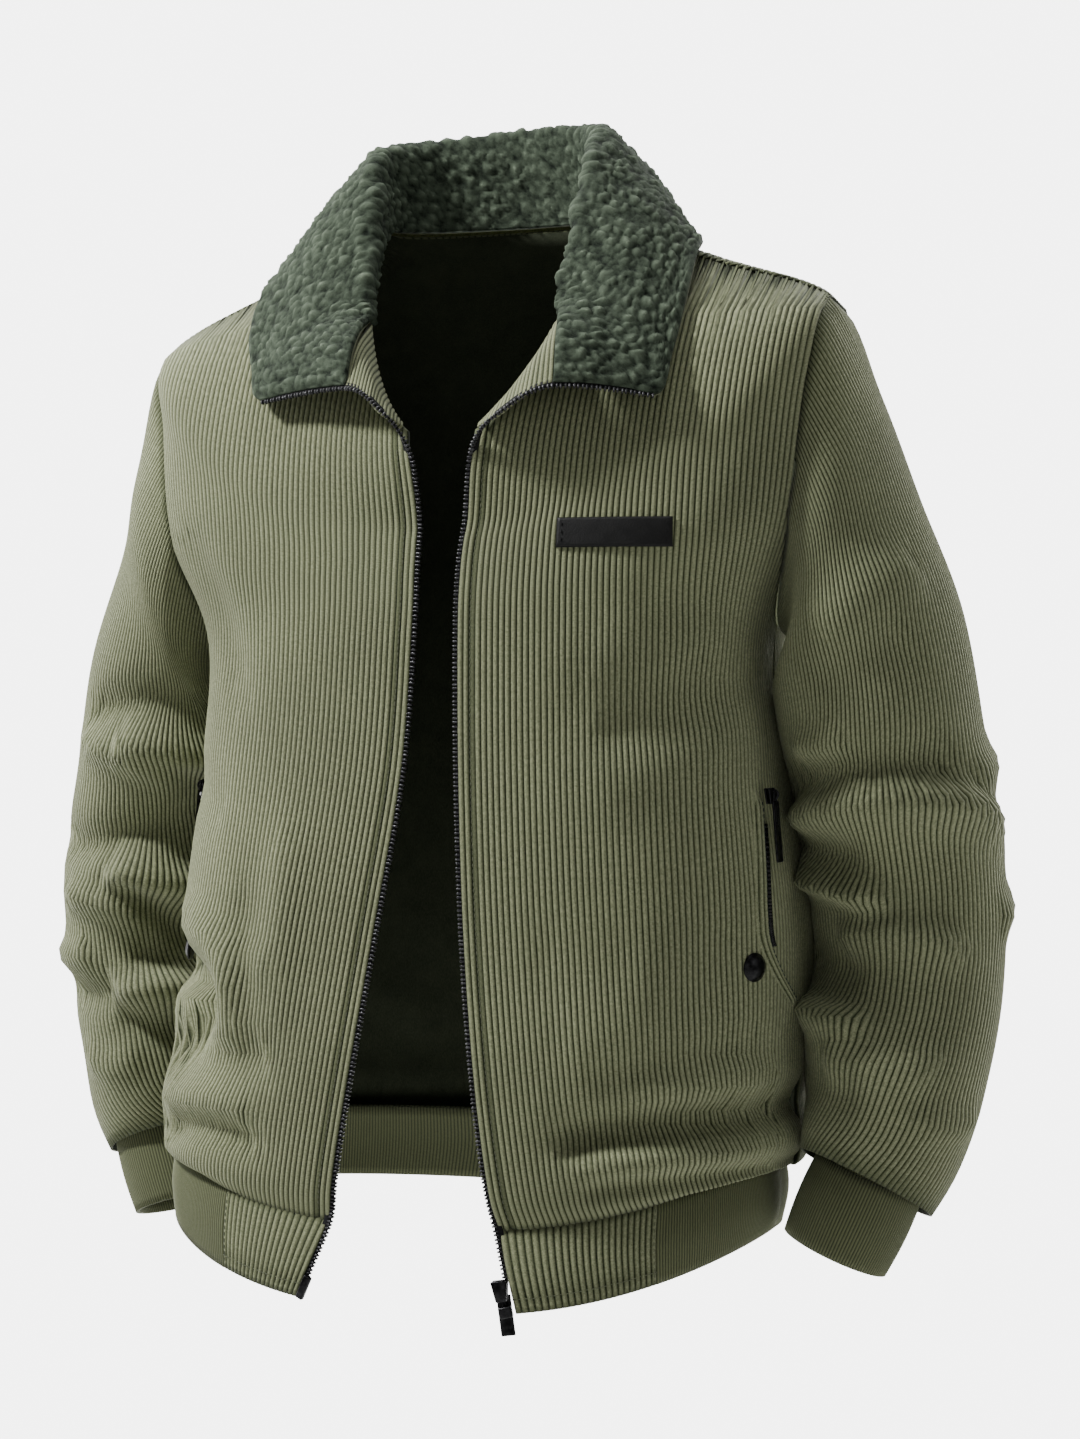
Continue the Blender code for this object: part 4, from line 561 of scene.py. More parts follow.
class Finish:
    # a material under construction

    def __init__(self, name, **fixed):
        self.material = bpy.data.materials.new(name)
        self.material.use_nodes = True
        self.tree = self.material.node_tree
        self.shader = self.tree.nodes["Principled BSDF"]
        for socket, value in fixed.items():
            self.shader.inputs[socket.replace("_", " ")].default_value = value

    def node(self, kind, settings=None, inputs=()):
        made = self.tree.nodes.new(kind)
        for name, value in (settings or {}).items():
            if name == "stops":
                ramp = made.color_ramp
                while len(ramp.elements) < len(value):
                    ramp.elements.new(0.5)
                for element, (place, colour) in zip(ramp.elements, value):
                    element.position = place
                    element.color = (*colour, 1.0)
            else:
                setattr(made, name, value)
        for key, value in inputs.items() if isinstance(inputs, dict) else enumerate(inputs):
            if isinstance(value, Wire):
                self.tree.links.new(value.socket, made.inputs[key])
            else:
                made.inputs[key].default_value = value
        return [Wire(self, socket) for socket in made.outputs]

    def objectSpace(self):
        return self.node("ShaderNodeTexCoord")[3]

    def scaled(self, vector, x, y, z):
        return self.node("ShaderNodeVectorMath", {"operation": "MULTIPLY"}, (vector, (x, y, z)))[0]

    def onCloth(self, width, length):
        # distance over the cloth in metres, from the piece's own UV map
        return self.scaled(self.node("ShaderNodeUVMap", {"uv_map": "UVMap"})[0], width, length, 1.0)

    def noise(self, vector, scale, detail=2.0, roughness=0.5):
        inputs = {"Vector": vector, "Scale": scale, "Detail": detail, "Roughness": roughness}
        return self.node("ShaderNodeTexNoise", {}, inputs)[0]

    def attribute(self, name):
        return self.node("ShaderNodeAttribute", {"attribute_name": name})[2]

    def spread(self, value, low, high, start=0.0, stop=1.0):
        return self.node("ShaderNodeMapRange", {"clamp": True}, (value, low, high, start, stop))[0]

    def ramp(self, value, *stops):
        return self.node("ShaderNodeValToRGB", {"stops": stops}, (value,))[0]

    def mix(self, factor, first, second):
        inputs = {0: factor, 6: (*first, 1.0), 7: (*second, 1.0)}
        return self.node("ShaderNodeMix", {"data_type": "RGBA", "blend_type": "MIX"}, inputs)[2]

    def wear(self, socket, value):
        self.tree.links.new(value.socket, self.shader.inputs[socket])

    def bump(self, height, distance, strength=1.0):
        inputs = {"Strength": strength, "Distance": distance, "Height": height}
        self.wear("Normal", self.node("ShaderNodeBump", {}, inputs)[0])


# colours from the grooves up, with the pile level at which each one is full. The dark low stops are partly
# the cloth's own colour and partly painted shade in the grooves and between the fleece's curls, and the
# fleece's top stop is partly a painted highlight
colours = {
    "corduroy": ((0.02, (0.020, 0.026, 0.012)), (0.36, (0.086, 0.098, 0.049)),
                 (0.72, (0.178, 0.194, 0.108)), (1.0, (0.350, 0.372, 0.220))),
    "rib": ((0.0, (0.022, 0.027, 0.011)), (0.5, (0.070, 0.079, 0.035)), (1.0, (0.130, 0.144, 0.066))),
    "fleece": ((0.06, (0.008, 0.012, 0.008)), (0.35, (0.047, 0.062, 0.042)),
               (0.72, (0.090, 0.115, 0.080)), (1.0, (0.200, 0.245, 0.175))),
    "patchy": 0.16,       # how far the corduroy's brightness wanders
}


def corduroyFinish(name, width, length):
    # light brushed crests over grooves darkened partly by painted shade, with short pile lying along them
    made = Finish(name, Roughness=0.92, Sheen_Weight=0.08, Sheen_Roughness=0.45, Specular_IOR_Level=0.25)
    pile = made.attribute("pile")
    cloth = made.onCloth(width, length)
    fibres = made.noise(made.scaled(cloth, 1500.0, 1000.0, 1.0), 1.0, 3.0, 0.6)
    tufts = made.noise(made.scaled(cloth, 620.0, 480.0, 1.0), 1.0, 2.0, 0.5)
    broad = made.noise(made.objectSpace(), 9.0, 3.0, 0.55)
    # low pile takes the dark stops: painted shade in the grooves, where the wales are pressed flat at seams,
    # and along the topstitching
    level = made.spread(0.86 * pile + 0.42 * (tufts - 0.5) + 0.60 * (fibres - 0.5), 0.0, 1.0)
    colour = made.ramp(level, *colours["corduroy"])
    patchy = colours["patchy"]
    tone = made.spread(broad, 0.3, 0.7, 1.0 - patchy, 1.0 + patchy * 0.5)
    toned = made.node("ShaderNodeVectorMath", {"operation": "SCALE"}, {0: colour, 3: tone})[0]
    made.wear("Base Color", toned)
    made.wear("Roughness", made.spread(level, 0.0, 1.0, 1.0, 0.86))
    made.bump(0.6 * fibres + 0.8 * tufts, 0.0005, 0.55)
    return made.material


def plainCloth(name, dark, light, threads=1500.0, sheen=0.0):
    # flat woven cloth: reverse sides, tapes and threads
    made = Finish(name, Roughness=0.9, Sheen_Weight=sheen, Specular_IOR_Level=0.15)
    place = made.objectSpace()
    weave = made.noise(made.scaled(place, threads, threads, threads * 0.4), 1.0, 2.0)
    slub = made.noise(place, 60.0, 3.0)
    made.wear("Base Color", made.mix(made.spread(0.6 * weave + 0.4 * slub, 0.3, 0.7), dark, light))
    made.wear("Roughness", made.spread(weave, 0.3, 0.7, 0.95, 0.8))
    made.bump(weave, 0.0002, 0.6)
    return made.material


def ribFinish(name, width, length):
    made = Finish(name, Roughness=0.9, Sheen_Weight=0.08)
    pile = made.attribute("pile")
    loops = made.noise(made.scaled(made.onCloth(width, length), 900.0, 650.0, 1.0), 1.0, 2.0)
    broad = made.noise(made.objectSpace(), 14.0, 2.0)
    # low pile between the ribs takes the dark stops: partly the knit's own colour, partly painted shade in
    # the grooves
    level = made.spread(pile + 0.35 * (loops - 0.5) + 0.1 * (broad - 0.5), 0.0, 1.0)
    made.wear("Base Color", made.ramp(level, *colours["rib"]))
    made.bump(loops, 0.0004, 0.5)
    return made.material


def fleeceFinish():
    made = Finish("curlyFleece", Roughness=0.95, Specular_IOR_Level=0.15)
    curl = made.attribute("pile")
    place = made.objectSpace()
    strands = made.noise(place, 900.0, 3.0, 0.65)
    tufts = made.noise(place, 260.0, 2.0)
    # the curl value picks the colour: over the fleece's own dark green, the dark stops paint shade between
    # the clumps and the top stop paints highlights on them
    level = made.spread(curl + 0.35 * (strands - 0.5) + 0.3 * (tufts - 0.5), 0.0, 1.0)
    made.wear("Base Color", made.ramp(level, *colours["fleece"]))
    made.bump(0.6 * strands + tufts, 0.0008, 0.8)
    return made.material


def metalFinish(name, colour, rough, worn=0.15):
    made = Finish(name, Metallic=0.85, Roughness=rough)
    smears = made.noise(made.objectSpace(), 300.0, 3.0)
    rubbed = tuple(min(1.0, part * 1.6 + worn * 0.1) for part in colour)
    made.wear("Base Color", made.mix(made.spread(smears, 0.45, 0.75), colour, rubbed))
    made.wear("Roughness", made.spread(smears, 0.3, 0.7, rough * 0.8, rough * 1.3))
    return made.material


def leatherFinish():
    made = Finish("patchLeather", Roughness=0.6, Specular_IOR_Level=0.25)
    place = made.objectSpace()
    grain = made.node("ShaderNodeTexVoronoi", {"feature": "F1"}, {"Vector": place, "Scale": 900.0})[0]
    mottle = made.noise(place, 120.0, 3.0)
    dark, light = (0.0045, 0.0045, 0.0045), (0.0075, 0.0075, 0.0072)
    made.wear("Base Color", made.mix(made.spread(mottle, 0.35, 0.7), dark, light))
    made.wear("Roughness", made.spread(mottle, 0.3, 0.7, 0.50, 0.66))
    made.bump(grain + 0.4 * mottle, 0.0003, 0.5)
    return made.material


# reverse side of the corduroy: its own dark colour, taken darker still as painted shade for the inside of the
# jacket
reverseClothShaded = plainCloth("reverseCloth", (0.020, 0.025, 0.014), (0.040, 0.047, 0.027))
tapeCloth = plainCloth("zipTapeCloth", (0.006, 0.006, 0.006), (0.016, 0.016, 0.017), 2200.0)
edgeCloth = plainCloth("collarEdgeCloth", (0.020, 0.030, 0.024), (0.036, 0.050, 0.040))
threadCloth = plainCloth("sewingThread", (0.075, 0.085, 0.045), (0.130, 0.145, 0.080), 3000.0, 0.3)
blackMetal = metalFinish("blackMetal", (0.012, 0.012, 0.013), 0.32)
toothMetal = metalFinish("toothMetal", (0.05, 0.05, 0.053), 0.34, 0.3)
fleeceLook = fleeceFinish()
patchLook = leatherFinish()
print("finishes made")


# building helpers
def linked(name, data):
    made = bpy.data.objects.new(name, data)
    bpy.context.scene.collection.objects.link(made)
    return made


def wall(name, outer, inner, pile, looks, absent=None, wrap=False, flip=False, merge=2e-6):
    # a sheet of cloth as a closed wall: grid primitive laid on the outer face, a turned copy on
    # the inner face, and a rim between them
    rows, columns = outer.shape[:2]
    bpy.ops.mesh.primitive_grid_add(x_subdivisions=columns - 1, y_subdivisions=rows - 1, size=1)
    piece = bpy.context.object
    piece.name = piece.data.name = name
    piece.data.vertices.foreach_set("co", outer.reshape(-1).astype(np.float32))
    level = np.broadcast_to(pile, (rows, columns)).astype(np.float32)
    piece.data.attributes.new("pile", "FLOAT", "POINT").data.foreach_set("value", level.reshape(-1))
    mesh = bmesh.new()
    mesh.from_mesh(piece.data)
    number = mesh.verts.layers.int.new("number")
    for index, vert in enumerate(mesh.verts):
        vert[number] = index
    if absent is not None:
        mesh.verts.ensure_lookup_table()
        missing = [mesh.verts[index] for index in np.flatnonzero(absent.reshape(-1))]
        bmesh.ops.delete(mesh, geom=missing, context="VERTS")
    if wrap:
        bmesh.ops.remove_doubles(mesh, verts=mesh.verts, dist=merge)
    if flip:
        bmesh.ops.reverse_faces(mesh, faces=mesh.faces)
    under = inner.reshape(-1, 3)
    front = list(mesh.faces)
    rim = [edge for edge in mesh.edges if edge.is_boundary]
    copy = bmesh.ops.duplicate(mesh, geom=mesh.verts[:] + mesh.edges[:] + front)
    twin = copy["vert_map"]
    turned = [item for item in copy["geom"] if isinstance(item, bmesh.types.BMFace)]
    bmesh.ops.reverse_faces(mesh, faces=turned)
    for face in turned:
        face.material_index = len(looks) - 1
    for edge in rim:
        first = next(loop.vert for loop in edge.link_faces[0].loops if loop.edge == edge)
        second = edge.other_vert(first)
        mesh.faces.new((second, first, twin[first], twin[second]))
    for face in front:
        for vert in face.verts:
            twin[vert].co = under[vert[number]]
    mesh.verts.layers.int.remove(number)
    mesh.to_mesh(piece.data)
    mesh.free()
    piece.data.shade_smooth()
    for look in looks:
        piece.data.materials.append(look)
    return piece


def settle(piece, body, slotName, *nodes):
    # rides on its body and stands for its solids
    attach(piece, body)
    if nodes:
        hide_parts(*nodes)
    return piece


def corduroyPiece(name, node, outer, inner, pile, cloth, backing=(reverseClothShaded,), **how):
    # a wall of corduroy; cloth is its finish's name, width and length
    piece = wall(name, outer, inner, pile, [corduroyFinish(*cloth), *backing], **how)
    return settle(piece, "jacket", "corduroy", node)


def selected(*pieces):
    bpy.ops.object.select_all(action="DESELECT")
    for piece in pieces:
        piece.select_set(True)
    bpy.context.view_layer.objects.active = pieces[0]


def applyAll(piece):
    # applies every modifier and leaves the place in the mesh
    selected(piece)
    for modifier in list(piece.modifiers):
        bpy.ops.object.modifier_apply(modifier=modifier.name)
    bpy.ops.object.transform_apply(location=True, rotation=True, scale=True)
    return piece


def roundedBox(name, size, radius, segments=2, centre=(0.0, 0.0, 0.0)):
    bpy.ops.mesh.primitive_cube_add(size=1)
    piece = bpy.context.object
    piece.name = name
    piece.scale = size
    bpy.ops.object.transform_apply(location=False, rotation=False, scale=True)
    bevel = piece.modifiers.new("Rounded", "BEVEL")
    bevel.width = radius
    bevel.segments = segments
    bevel.limit_method = "NONE"
    piece.data.shade_smooth()
    applyAll(piece).data.transform(Matrix.Translation(centre))
    return piece


def axes(xAxis, yAxis, zAxis, point):
    matrix = Matrix((xAxis, yAxis, zAxis)).transposed().to_4x4()
    matrix.translation = Vector(point)
    return matrix


def frameAt(point, along, face):
    # axes on the cloth: Z along it, Y out of it, X across
    zAxis = Vector(along).normalized()
    yAxis = Vector(face)
    yAxis = (yAxis - zAxis * yAxis.dot(zAxis)).normalized()
    return axes(yAxis.cross(zAxis), yAxis, zAxis, point)


def copies(name, template, matrices, look):
    # one mesh made of turned copies of a small modelled piece
    mesh = bmesh.new()
    for matrix in matrices:
        start = len(mesh.verts)
        mesh.from_mesh(template.data)
        mesh.verts.ensure_lookup_table()
        bmesh.ops.transform(mesh, matrix=matrix, verts=mesh.verts[start:])
    piece = linked(name, bpy.data.meshes.new(name))
    mesh.to_mesh(piece.data)
    mesh.free()
    piece.data.materials.append(look)
    bpy.data.objects.remove(template, do_unlink=True)
    return piece


stitch = {"length": 0.0029, "gap": 0.0009, "radius": 0.00028, "lift": 0.00025}


def stitchLine(name, path, faces, look=threadCloth):
    # a row of stitches lying along a path on the cloth
    lengths = runLength(path)
    count = max(2, int(lengths[-1] / (stitch["length"] + stitch["gap"])))
    centres = (np.arange(count) + 0.5) / count * lengths[-1]
    at = pick(centres, lengths, path)
    out = unit(pick(centres, lengths, faces))
    bpy.ops.mesh.primitive_uv_sphere_add(segments=6, ring_count=4, radius=1.0)
    bead = bpy.context.object
    bead.scale = (stitch["radius"] * 1.3, stitch["radius"], stitch["length"] / 2)
    bpy.ops.object.transform_apply(location=False, rotation=False, scale=True)
    bead.data.shade_smooth()
    frames = [frameAt(*place) for place in zip(at + out * stitch["lift"], np.gradient(at, axis=0), out)]
    settle(copies(name, bead, frames, look), "jacket", "corduroy")


# fronts and back
topstitch = {
    "fromZip": 0.0090,
    "dip": 0.0007,        # how deep the stitching draws the cloth in
    "width": 0.0016,
    "sunk": 0.0001,
}


def panelSheet(half):
    # the half panel's seam surface, its normals, the height of its wales and what is absent
    points, out, absent = surfaces[half]
    fromHem = np.arange(len(points))[:, None] * cord["row"]
    pile = walePile(points.shape[1])[None, :] * pressed(fromHem, (0.35, 0.009), (0.50, 0.009))
    seam = points.copy()
    seam[0] += unit(points[0] - points[1]) * seams["foot"]
    return seam, gridNormals(points, out), pile, absent


def makeFront(side):
    seam, normal, pile, absent = panelSheet((side, side))
    last = pile.shape[1] - 1
    width = panels[side, side].width
    across = np.arange(last + 1) / last * width
    sewn = np.exp(-((across - topstitch["fromZip"]) / topstitch["width"]) ** 2)[None, :]
    height = cord["pile"] * pile - cord["sink"] - topstitch["dip"] * sewn
    outer = seam + normal * height[..., None]
    # the pile value passed on is lowered along the topstitching, painting shade into the stitched crease
    piece = corduroyPiece(f"corduroy_front_{side}", f"front_{side}", outer, seam - normal * walls["corduroy"],
                          pile - 0.5 * sewn, (f"corduroyFront{side.title()}", width, 0.62),
                          absent=absent, flip=side == "right")
    width + 0.03
    width * 0.56
    column = int(round(topstitch["fromZip"] / width * last))
    faces = normal[2:-2, column]
    stitchLine(f"zip_topstitch_{side}", outer[2:-2, column] - faces * topstitch["sunk"], faces)


def makeBack():
    sheets = []
    for side in sideSign:
        seam, normal, pile, absent = panelSheet(("back", side))
        outer = seam + normal * (cord["pile"] * pile - cord["sink"])[..., None]
        sheets.append((outer, seam - normal * walls["corduroy"], pile, absent))
    outer, inner, pile, absent = (np.concatenate([left[:, ::-1], right[:, 1:]], axis=1)
                                  for left, right in zip(*sheets))
    width = 2 * panels["back", "left"].width
    piece = corduroyPiece("corduroy_back", "back", outer, inner, pile, ("corduroyBack", width, 0.66),
                          absent=absent)
    width + 0.04
    width * 0.60


for side in sideSign:
    makeFront(side)
makeBack()
print("fronts and back made")

# sleeves
sleeve = {
    "angles": 241,
    "rows": 68,
    "row": 0.0065,        # length of a mesh row
    "seam": 0.53,         # share of the girth from the outer line round the front to the seam
    "clear": 0.0008,      # between the sleeve's grooves and the body beside it
    "fade": 0.04,         # part of the sleeve over which that clearance grows
    "tip": (0.72, 0.0, -0.80),      # way the sleeve leaves the shoulder
    "pit": (0.75, 0.0, -0.66),      # and the armpit
    "radius": 0.062,      # turns degrees round a sleeve into metres for its folds
}


def sleeveRing(side, angle, down):
    # point of a sleeve ring; angle runs from the outer side to the front, in degrees
    rings = sleeveRows[side]
    tilt = np.radians(read(rings, "tilt", down))
    heading = unit(readPoint(rings, down + 0.05) - readPoint(rings, down - 0.05))
    sideways = np.stack([np.cos(tilt), 0 * tilt, np.sin(tilt)], axis=-1)
    forward = unit(np.stack([0 * tilt, heading[..., 2], -heading[..., 1]], axis=-1))
    across = (read(rings, "across", down) * np.cos(np.radians(angle)))[..., None]
    along = (read(rings, "along", down) * np.sin(np.radians(angle)))[..., None]
    return (readPoint(rings, down) + sideways * across + forward * along) * flips[side]


def armholeLoop(side, angles):
    # armhole points at ring angles, from the shoulder tip down the front and up the back
    front, back = panels[side, side].armhole, panels["back", side].armhole
    frontTurns, backTurns = (runLength(half) / runLength(half)[-1] * 180.0 for half in (front, back))
    turns = np.concatenate([frontTurns, 360.0 - backTurns[::-1][1:]])
    return pick(angles, turns, np.concatenate([front, back[::-1][1:]]))


def sleeveSmooth(side, angles):
    # outer face of a sleeve without folds, armhole first
    count = len(sleeveRows[side]["X"])
    rings = [sleeveRing(side, angles, np.full(len(angles), float(row))) for row in range(count)]
    guides = np.stack([armholeLoop(side, angles)] + rings)
    turned = (0.5 - 0.5 * np.cos(np.radians(angles)))[:, None]
    tipWay, pitWay = (np.array(sleeve[end]) * flips[side] for end in ("tip", "pit"))
    start = unit(tipWay * (1 - turned) + pitWay * turned)
    before = guides[0] - start * np.linalg.norm(guides[1] - guides[0], axis=1, keepdims=True)
    corners = np.concatenate([before[None], guides])
    lines = [resample(curveThrough(corners[:, column], 30 * count, 1.0), sleeve["rows"] + 1)
             for column in range(len(angles))]
    return np.stack(lines, axis=1)


def sleeveFolded(side, points, angles):
    # moves the sleeve along its normals by its folds, then clear of the body
    folds = dict(sleeveFolds[side])
    for name in ("at0", "at1", "at2"):
        folds[name] = np.radians(folds[name]) * sleeve["radius"]
    lift = np.zeros(points.shape[:2])
    for shift in (-360.0, 0.0):
        across = np.broadcast_to(np.radians(angles + shift) * sleeve["radius"], lift.shape)
        lift += foldHeight(across, points[..., 2], folds)
    share = np.linspace(0.0, 1.0, len(points))[:, None]
    fade = ease(share / 0.2) * ease((1.0 - share) / 0.06)
    folded = points + tubeNormals(points) * sideSign[side] * (lift * fade)[..., None]
    torso = searchable(panels[side, side].samples(), panels["back", side].samples())
    clearance = ease(share / sleeve["fade"]) * (sleeve["clear"] + cord["pile"] - cord["sink"])
    for _ in range(2):
        folded = clearOf(folded, torso, clearance)
    return folded


def makeSleeve(side):
    angles = np.linspace(0.0, 360.0, sleeve["angles"])
    smooth = sleeveSmooth(side, angles)
    folded = sleeveFolded(side, smooth, angles)
    # wales keep their distance from the sleeve's outer line and end on the seam under the arm
    step = np.linalg.norm(np.diff(smooth, axis=1), axis=2)
    along = np.concatenate([np.zeros((len(smooth), 1)), np.cumsum(step, axis=1)], axis=1)
    girth = along[:, -1]
    pace = cord["pitch"] / cord["steps"]
    front, rear = (int(np.ceil(girth.max() * share / pace)) for share in (sleeve["seam"], 1 - sleeve["seam"]))
    number = np.arange(-rear, front + 1)
    place = waleColumns(number) * cord["pitch"]
    way = tubeNormals(folded) * -sideSign[side]
    outer, normals = [], []
    for row, around in enumerate(girth):
        wanted = np.clip(place, -around * (1 - sleeve["seam"]), around * sleeve["seam"])
        wanted = np.where(wanted < 0, wanted + around, wanted)
        outer.append(pick(wanted, along[row], folded[row]))
        normals.append(pick(wanted, along[row], way[row]))
    outer, normals = np.stack(outer), unit(np.stack(normals))
    outer[0] += unit(outer[0] - outer[1]) * seams["sleeve"] - normals[0] * seams["sunk"]
    fromTop = np.arange(len(smooth))[:, None] * sleeve["row"]
    pile = cord["shape"][number % cord["steps"]][None, :] * pressed(fromTop, (0.4, 0.008), (0.4, 0.010))
    height = cord["pile"] * pile - cord["sink"]
    piece = corduroyPiece(f"corduroy_sleeve_{side}", f"sleeve_{side}", outer + normals * height[..., None],
                          outer - normals * walls["corduroy"], pile,
                          (f"corduroySleeve{side.title()}", girth.max(), 0.44),
                          wrap=True, flip=side == "left", merge=4e-5)


for side in sideSign:
    makeSleeve(side)
print("sleeves made")

# ribbed cuffs and hem band, corduroy tabs at the front
ribs = {
    "pitch": 0.0020,
    "steps": 4,           # mesh columns a rib
    "height": 0.0006,
    "shape": np.array([0.0, 0.75, 1.0, 0.75]),
    "puff": 0.0008,       # how far the band swells between its seams
}
cuff = {
    "end": {"left": (0.2307, -0.007, -0.6345), "right": (0.2500, 0.040, -0.640)},
    "tilt": {"left": -23.0, "right": -18.0},
    "radius": 0.0355,
    "oval": 1.04,         # front to back over side to side
    "belly": 0.02,
    "taper": 0.03,
    "overlap": 0.007,     # how far the cuff reaches up inside the sleeve end
}
tab = {"width": {"left": 0.088, "right": 0.070}, "sewn": 0.20, "dip": 0.0006}


def cuffPoints(side, rows, count):
    # outer face of a cuff, from inside the sleeve end to the wrist
    rings = sleeveRows[side]
    seam = readPoint(rings, len(rings["X"]) - 1.0)
    wrist = np.array(cuff["end"][side])
    axis = unit(wrist - seam)
    top = seam - axis * cuff["overlap"]
    tilt = math.radians(cuff["tilt"][side])
    sideways = np.array([math.cos(tilt), 0.0, math.sin(tilt)])
    forward = unit(np.cross(sideways, axis))
    forward = forward if forward[1] < 0 else -forward
    angle = np.radians(np.linspace(0.0, 360.0, count + 1))[:, None]
    circle = sideways * np.cos(angle) + forward * np.sin(angle) * cuff["oval"]
    share = np.linspace(0.0, 1.0, rows + 1)[:, None, None]
    radius = cuff["radius"] * (1.0 + cuff["belly"] * np.sin(math.pi * share) - cuff["taper"] * share)
    points = top + (wrist - top) * share + circle * radius
    points[:, -1] = points[:, 0]
    return points * flips[side]


def tabTurn(side, level):
    # turn of the seam between a corduroy tab and the ribbed band
    edge = read(hemZipRows, side, 1.0) * sideSign[side] + tab["width"][side]
    return turnAt(hemRows, edge, side, level)


def bandPoints(start, stop, rows, count):
    # hem band between two turns that are given for every level, bottom row first
    level = np.linspace(2.0, 0.0, rows + 1)[:, None]
    turn = start(level) + (stop(level) - start(level)) * np.linspace(0.0, 1.0, count + 1)[None, :]
    points = ring(hemRows, turn, np.broadcast_to(level, turn.shape))
    points[:, 0] += unit(points[:, 1] - points[:, 0]) * seams["gap"]
    points[:, -1] += unit(points[:, -2] - points[:, -1]) * seams["gap"]
    points[-1] += unit(points[-2] - points[-1]) * seams["hem"]
    return points


def ribPiece(name, points, out, node, width, length, wrap=False, flip=False, tucked=False):
    normal = gridNormals(points, out)
    if wrap:
        normal[:, 0] = normal[:, -1] = unit(normal[:, 0] + normal[:, -1])
    pile = np.broadcast_to(ribs["shape"][np.arange(points.shape[1]) % ribs["steps"]], points.shape[:2])
    puff = np.sin(np.linspace(0.0, math.pi, len(points)))[:, None] * ribs["puff"]
    if tucked:
        # up under the body, and a little sideways under the tabs
        points = points.copy()
        points[-1] += unit(points[-1] - points[-2]) * seams["tuck"] - normal[-1] * seams["sunk"]
        for end, beside in ((0, 1), (-1, -2)):
            way = unit(points[:, end] - points[:, beside])
            points[:, end] += way * seams["tuck"] * 0.4 - normal[:, end] * seams["sunk"] * 0.8
    outer = points + normal * (ribs["height"] * (pile - 0.8) + puff)[..., None]
    finish = ribFinish(f"{name}Knit", width, length)
    piece = wall(name, outer, points - normal * walls["rib"], pile, [finish], wrap=wrap, flip=flip)
    settle(piece, "jacket", "rib_knit", node)


def makeCuff(side):
    girth = 2 * math.pi * cuff["radius"]
    points = cuffPoints(side, 10, int(round(girth / ribs["pitch"])) * ribs["steps"])
    length = float(np.linalg.norm(points[-1].mean(0) - points[0].mean(0)))
    ribPiece(f"knit_cuff_{side}", points, points - points.mean(axis=1, keepdims=True), f"cuff_{side}",
             girth, length, wrap=True, flip=side == "right")


def makeHem():
    ends = (lambda level: tabTurn("left", level), lambda level: 360.0 - tabTurn("right", level))
    width = float(runLength(bandPoints(*ends, 9, 40)[5])[-1])
    sweep = bandPoints(*ends, 9, int(round(width / ribs["pitch"])) * ribs["steps"])
    away = (sweep - sweep.mean(axis=(0, 1))) * np.array([1.0, 1.0, 0.0])
    ribPiece("knit_hem", sweep, away, "hem_rib", width, 0.047, tucked=True)


def makeTab(side):
    sign, width = sideSign[side], tab["width"][side]
    ends = (lambda level: hemTurn(side, level) * sign, lambda level: tabTurn(side, level) * sign)
    points = bandPoints(*ends, 12, int(round(width / cord["pitch"])) * cord["steps"])
    normal = gridNormals(points, np.broadcast_to(np.array([0.3 * sign, -1.0, 0.0]), points.shape))
    rows = np.linspace(0.0, 1.0, len(points))[:, None]
    sewn = np.exp(-((rows - tab["sewn"]) / 0.035) ** 2)
    pile = walePile(points.shape[1])[None, :] * pressed(rows, (0.4, 0.10), (0.4, 0.10))
    points[-1] += unit(points[-1] - points[-2]) * seams["tuck"] - normal[-1] * seams["sunk"]
    outer = points + normal * (cord["pile"] * pile - cord["sink"] - tab["dip"] * sewn)[..., None]
    inner = points - normal * walls["corduroy"]
    # the pile value passed on is lowered along the topstitching, painting shade into the stitched crease
    piece = corduroyPiece(f"corduroy_tab_{side}", f"hem_tab_{side}", outer, inner, pile - 0.4 * sewn,
                          (f"corduroyTab{side.title()}", width, 0.05), flip=side == "right")
    row = int(round(tab["sewn"] * (len(points) - 1)))
    stitchLine(f"tab_topstitch_{side}", outer[row], normal[row])
    stitchLine(f"tab_seam_stitch_{side}", outer[:, -3], normal[:, -3])


for side in sideSign:
    makeCuff(side)
makeHem()
for side in sideSign:
    makeTab(side)
print("cuffs and hem made")

# collar with its fleece, and the turned-back corners of the fronts
collar = {
    "seamTurn": 55.0,     # neck seam on the fold line
    "zipSeam": {"left": (0.089, -0.138, -0.098), "right": (-0.046, -0.138, -0.094)},
    "zipBend": {"left": (0.056, -0.146, -0.117), "right": (-0.020, -0.146, -0.112)},
    "foldRadius": 0.005,
    "bulge": 0.010,       # of the fall between the fold line and the free edge
    "clear": 0.0042,      # middle face of the collar above the shoulders
    "stations": 11,       # from the centre back to the collar's corner, each side
    "rows": 10,
    "fallRow": 5,         # first row beyond the fold line
    "seamLift": 0.006,    # fold line over the neck seam at the front corner
    "shares": (0.34, 0.67, 1.0),        # sections from the tip to the seam
    "neckLift": 0.0024,   # foot of the stand over the neck edge
    "fine": (92, 300),    # mesh rows and columns of the fleece
    "plain": (30, 121),   # and of the cloth side
    "curl": 0.0072,       # width of a clump
    "depth": 0.0042,
    "wander": (130.0, 0.0024),      # how often and how far the clumps wander
    "seed": 7,            # without a seed the wander would differ from run to run
}
facing = {
    "wales": 18,
    "share": 0.93,        # of the neck edge that the facing follows
    "lift": 0.0010,       # over the front's neck edge
    "slack": 0.003,       # further lift towards the neck seam
    "bulge": 0.006,
    "pile": 0.6,          # height of its wales against the body's
}
collarTip = {side: np.array([collarRows[side]["edge" + axis][-1] for axis in "XYZ"]) * flips[side]
             for side in sideSign}
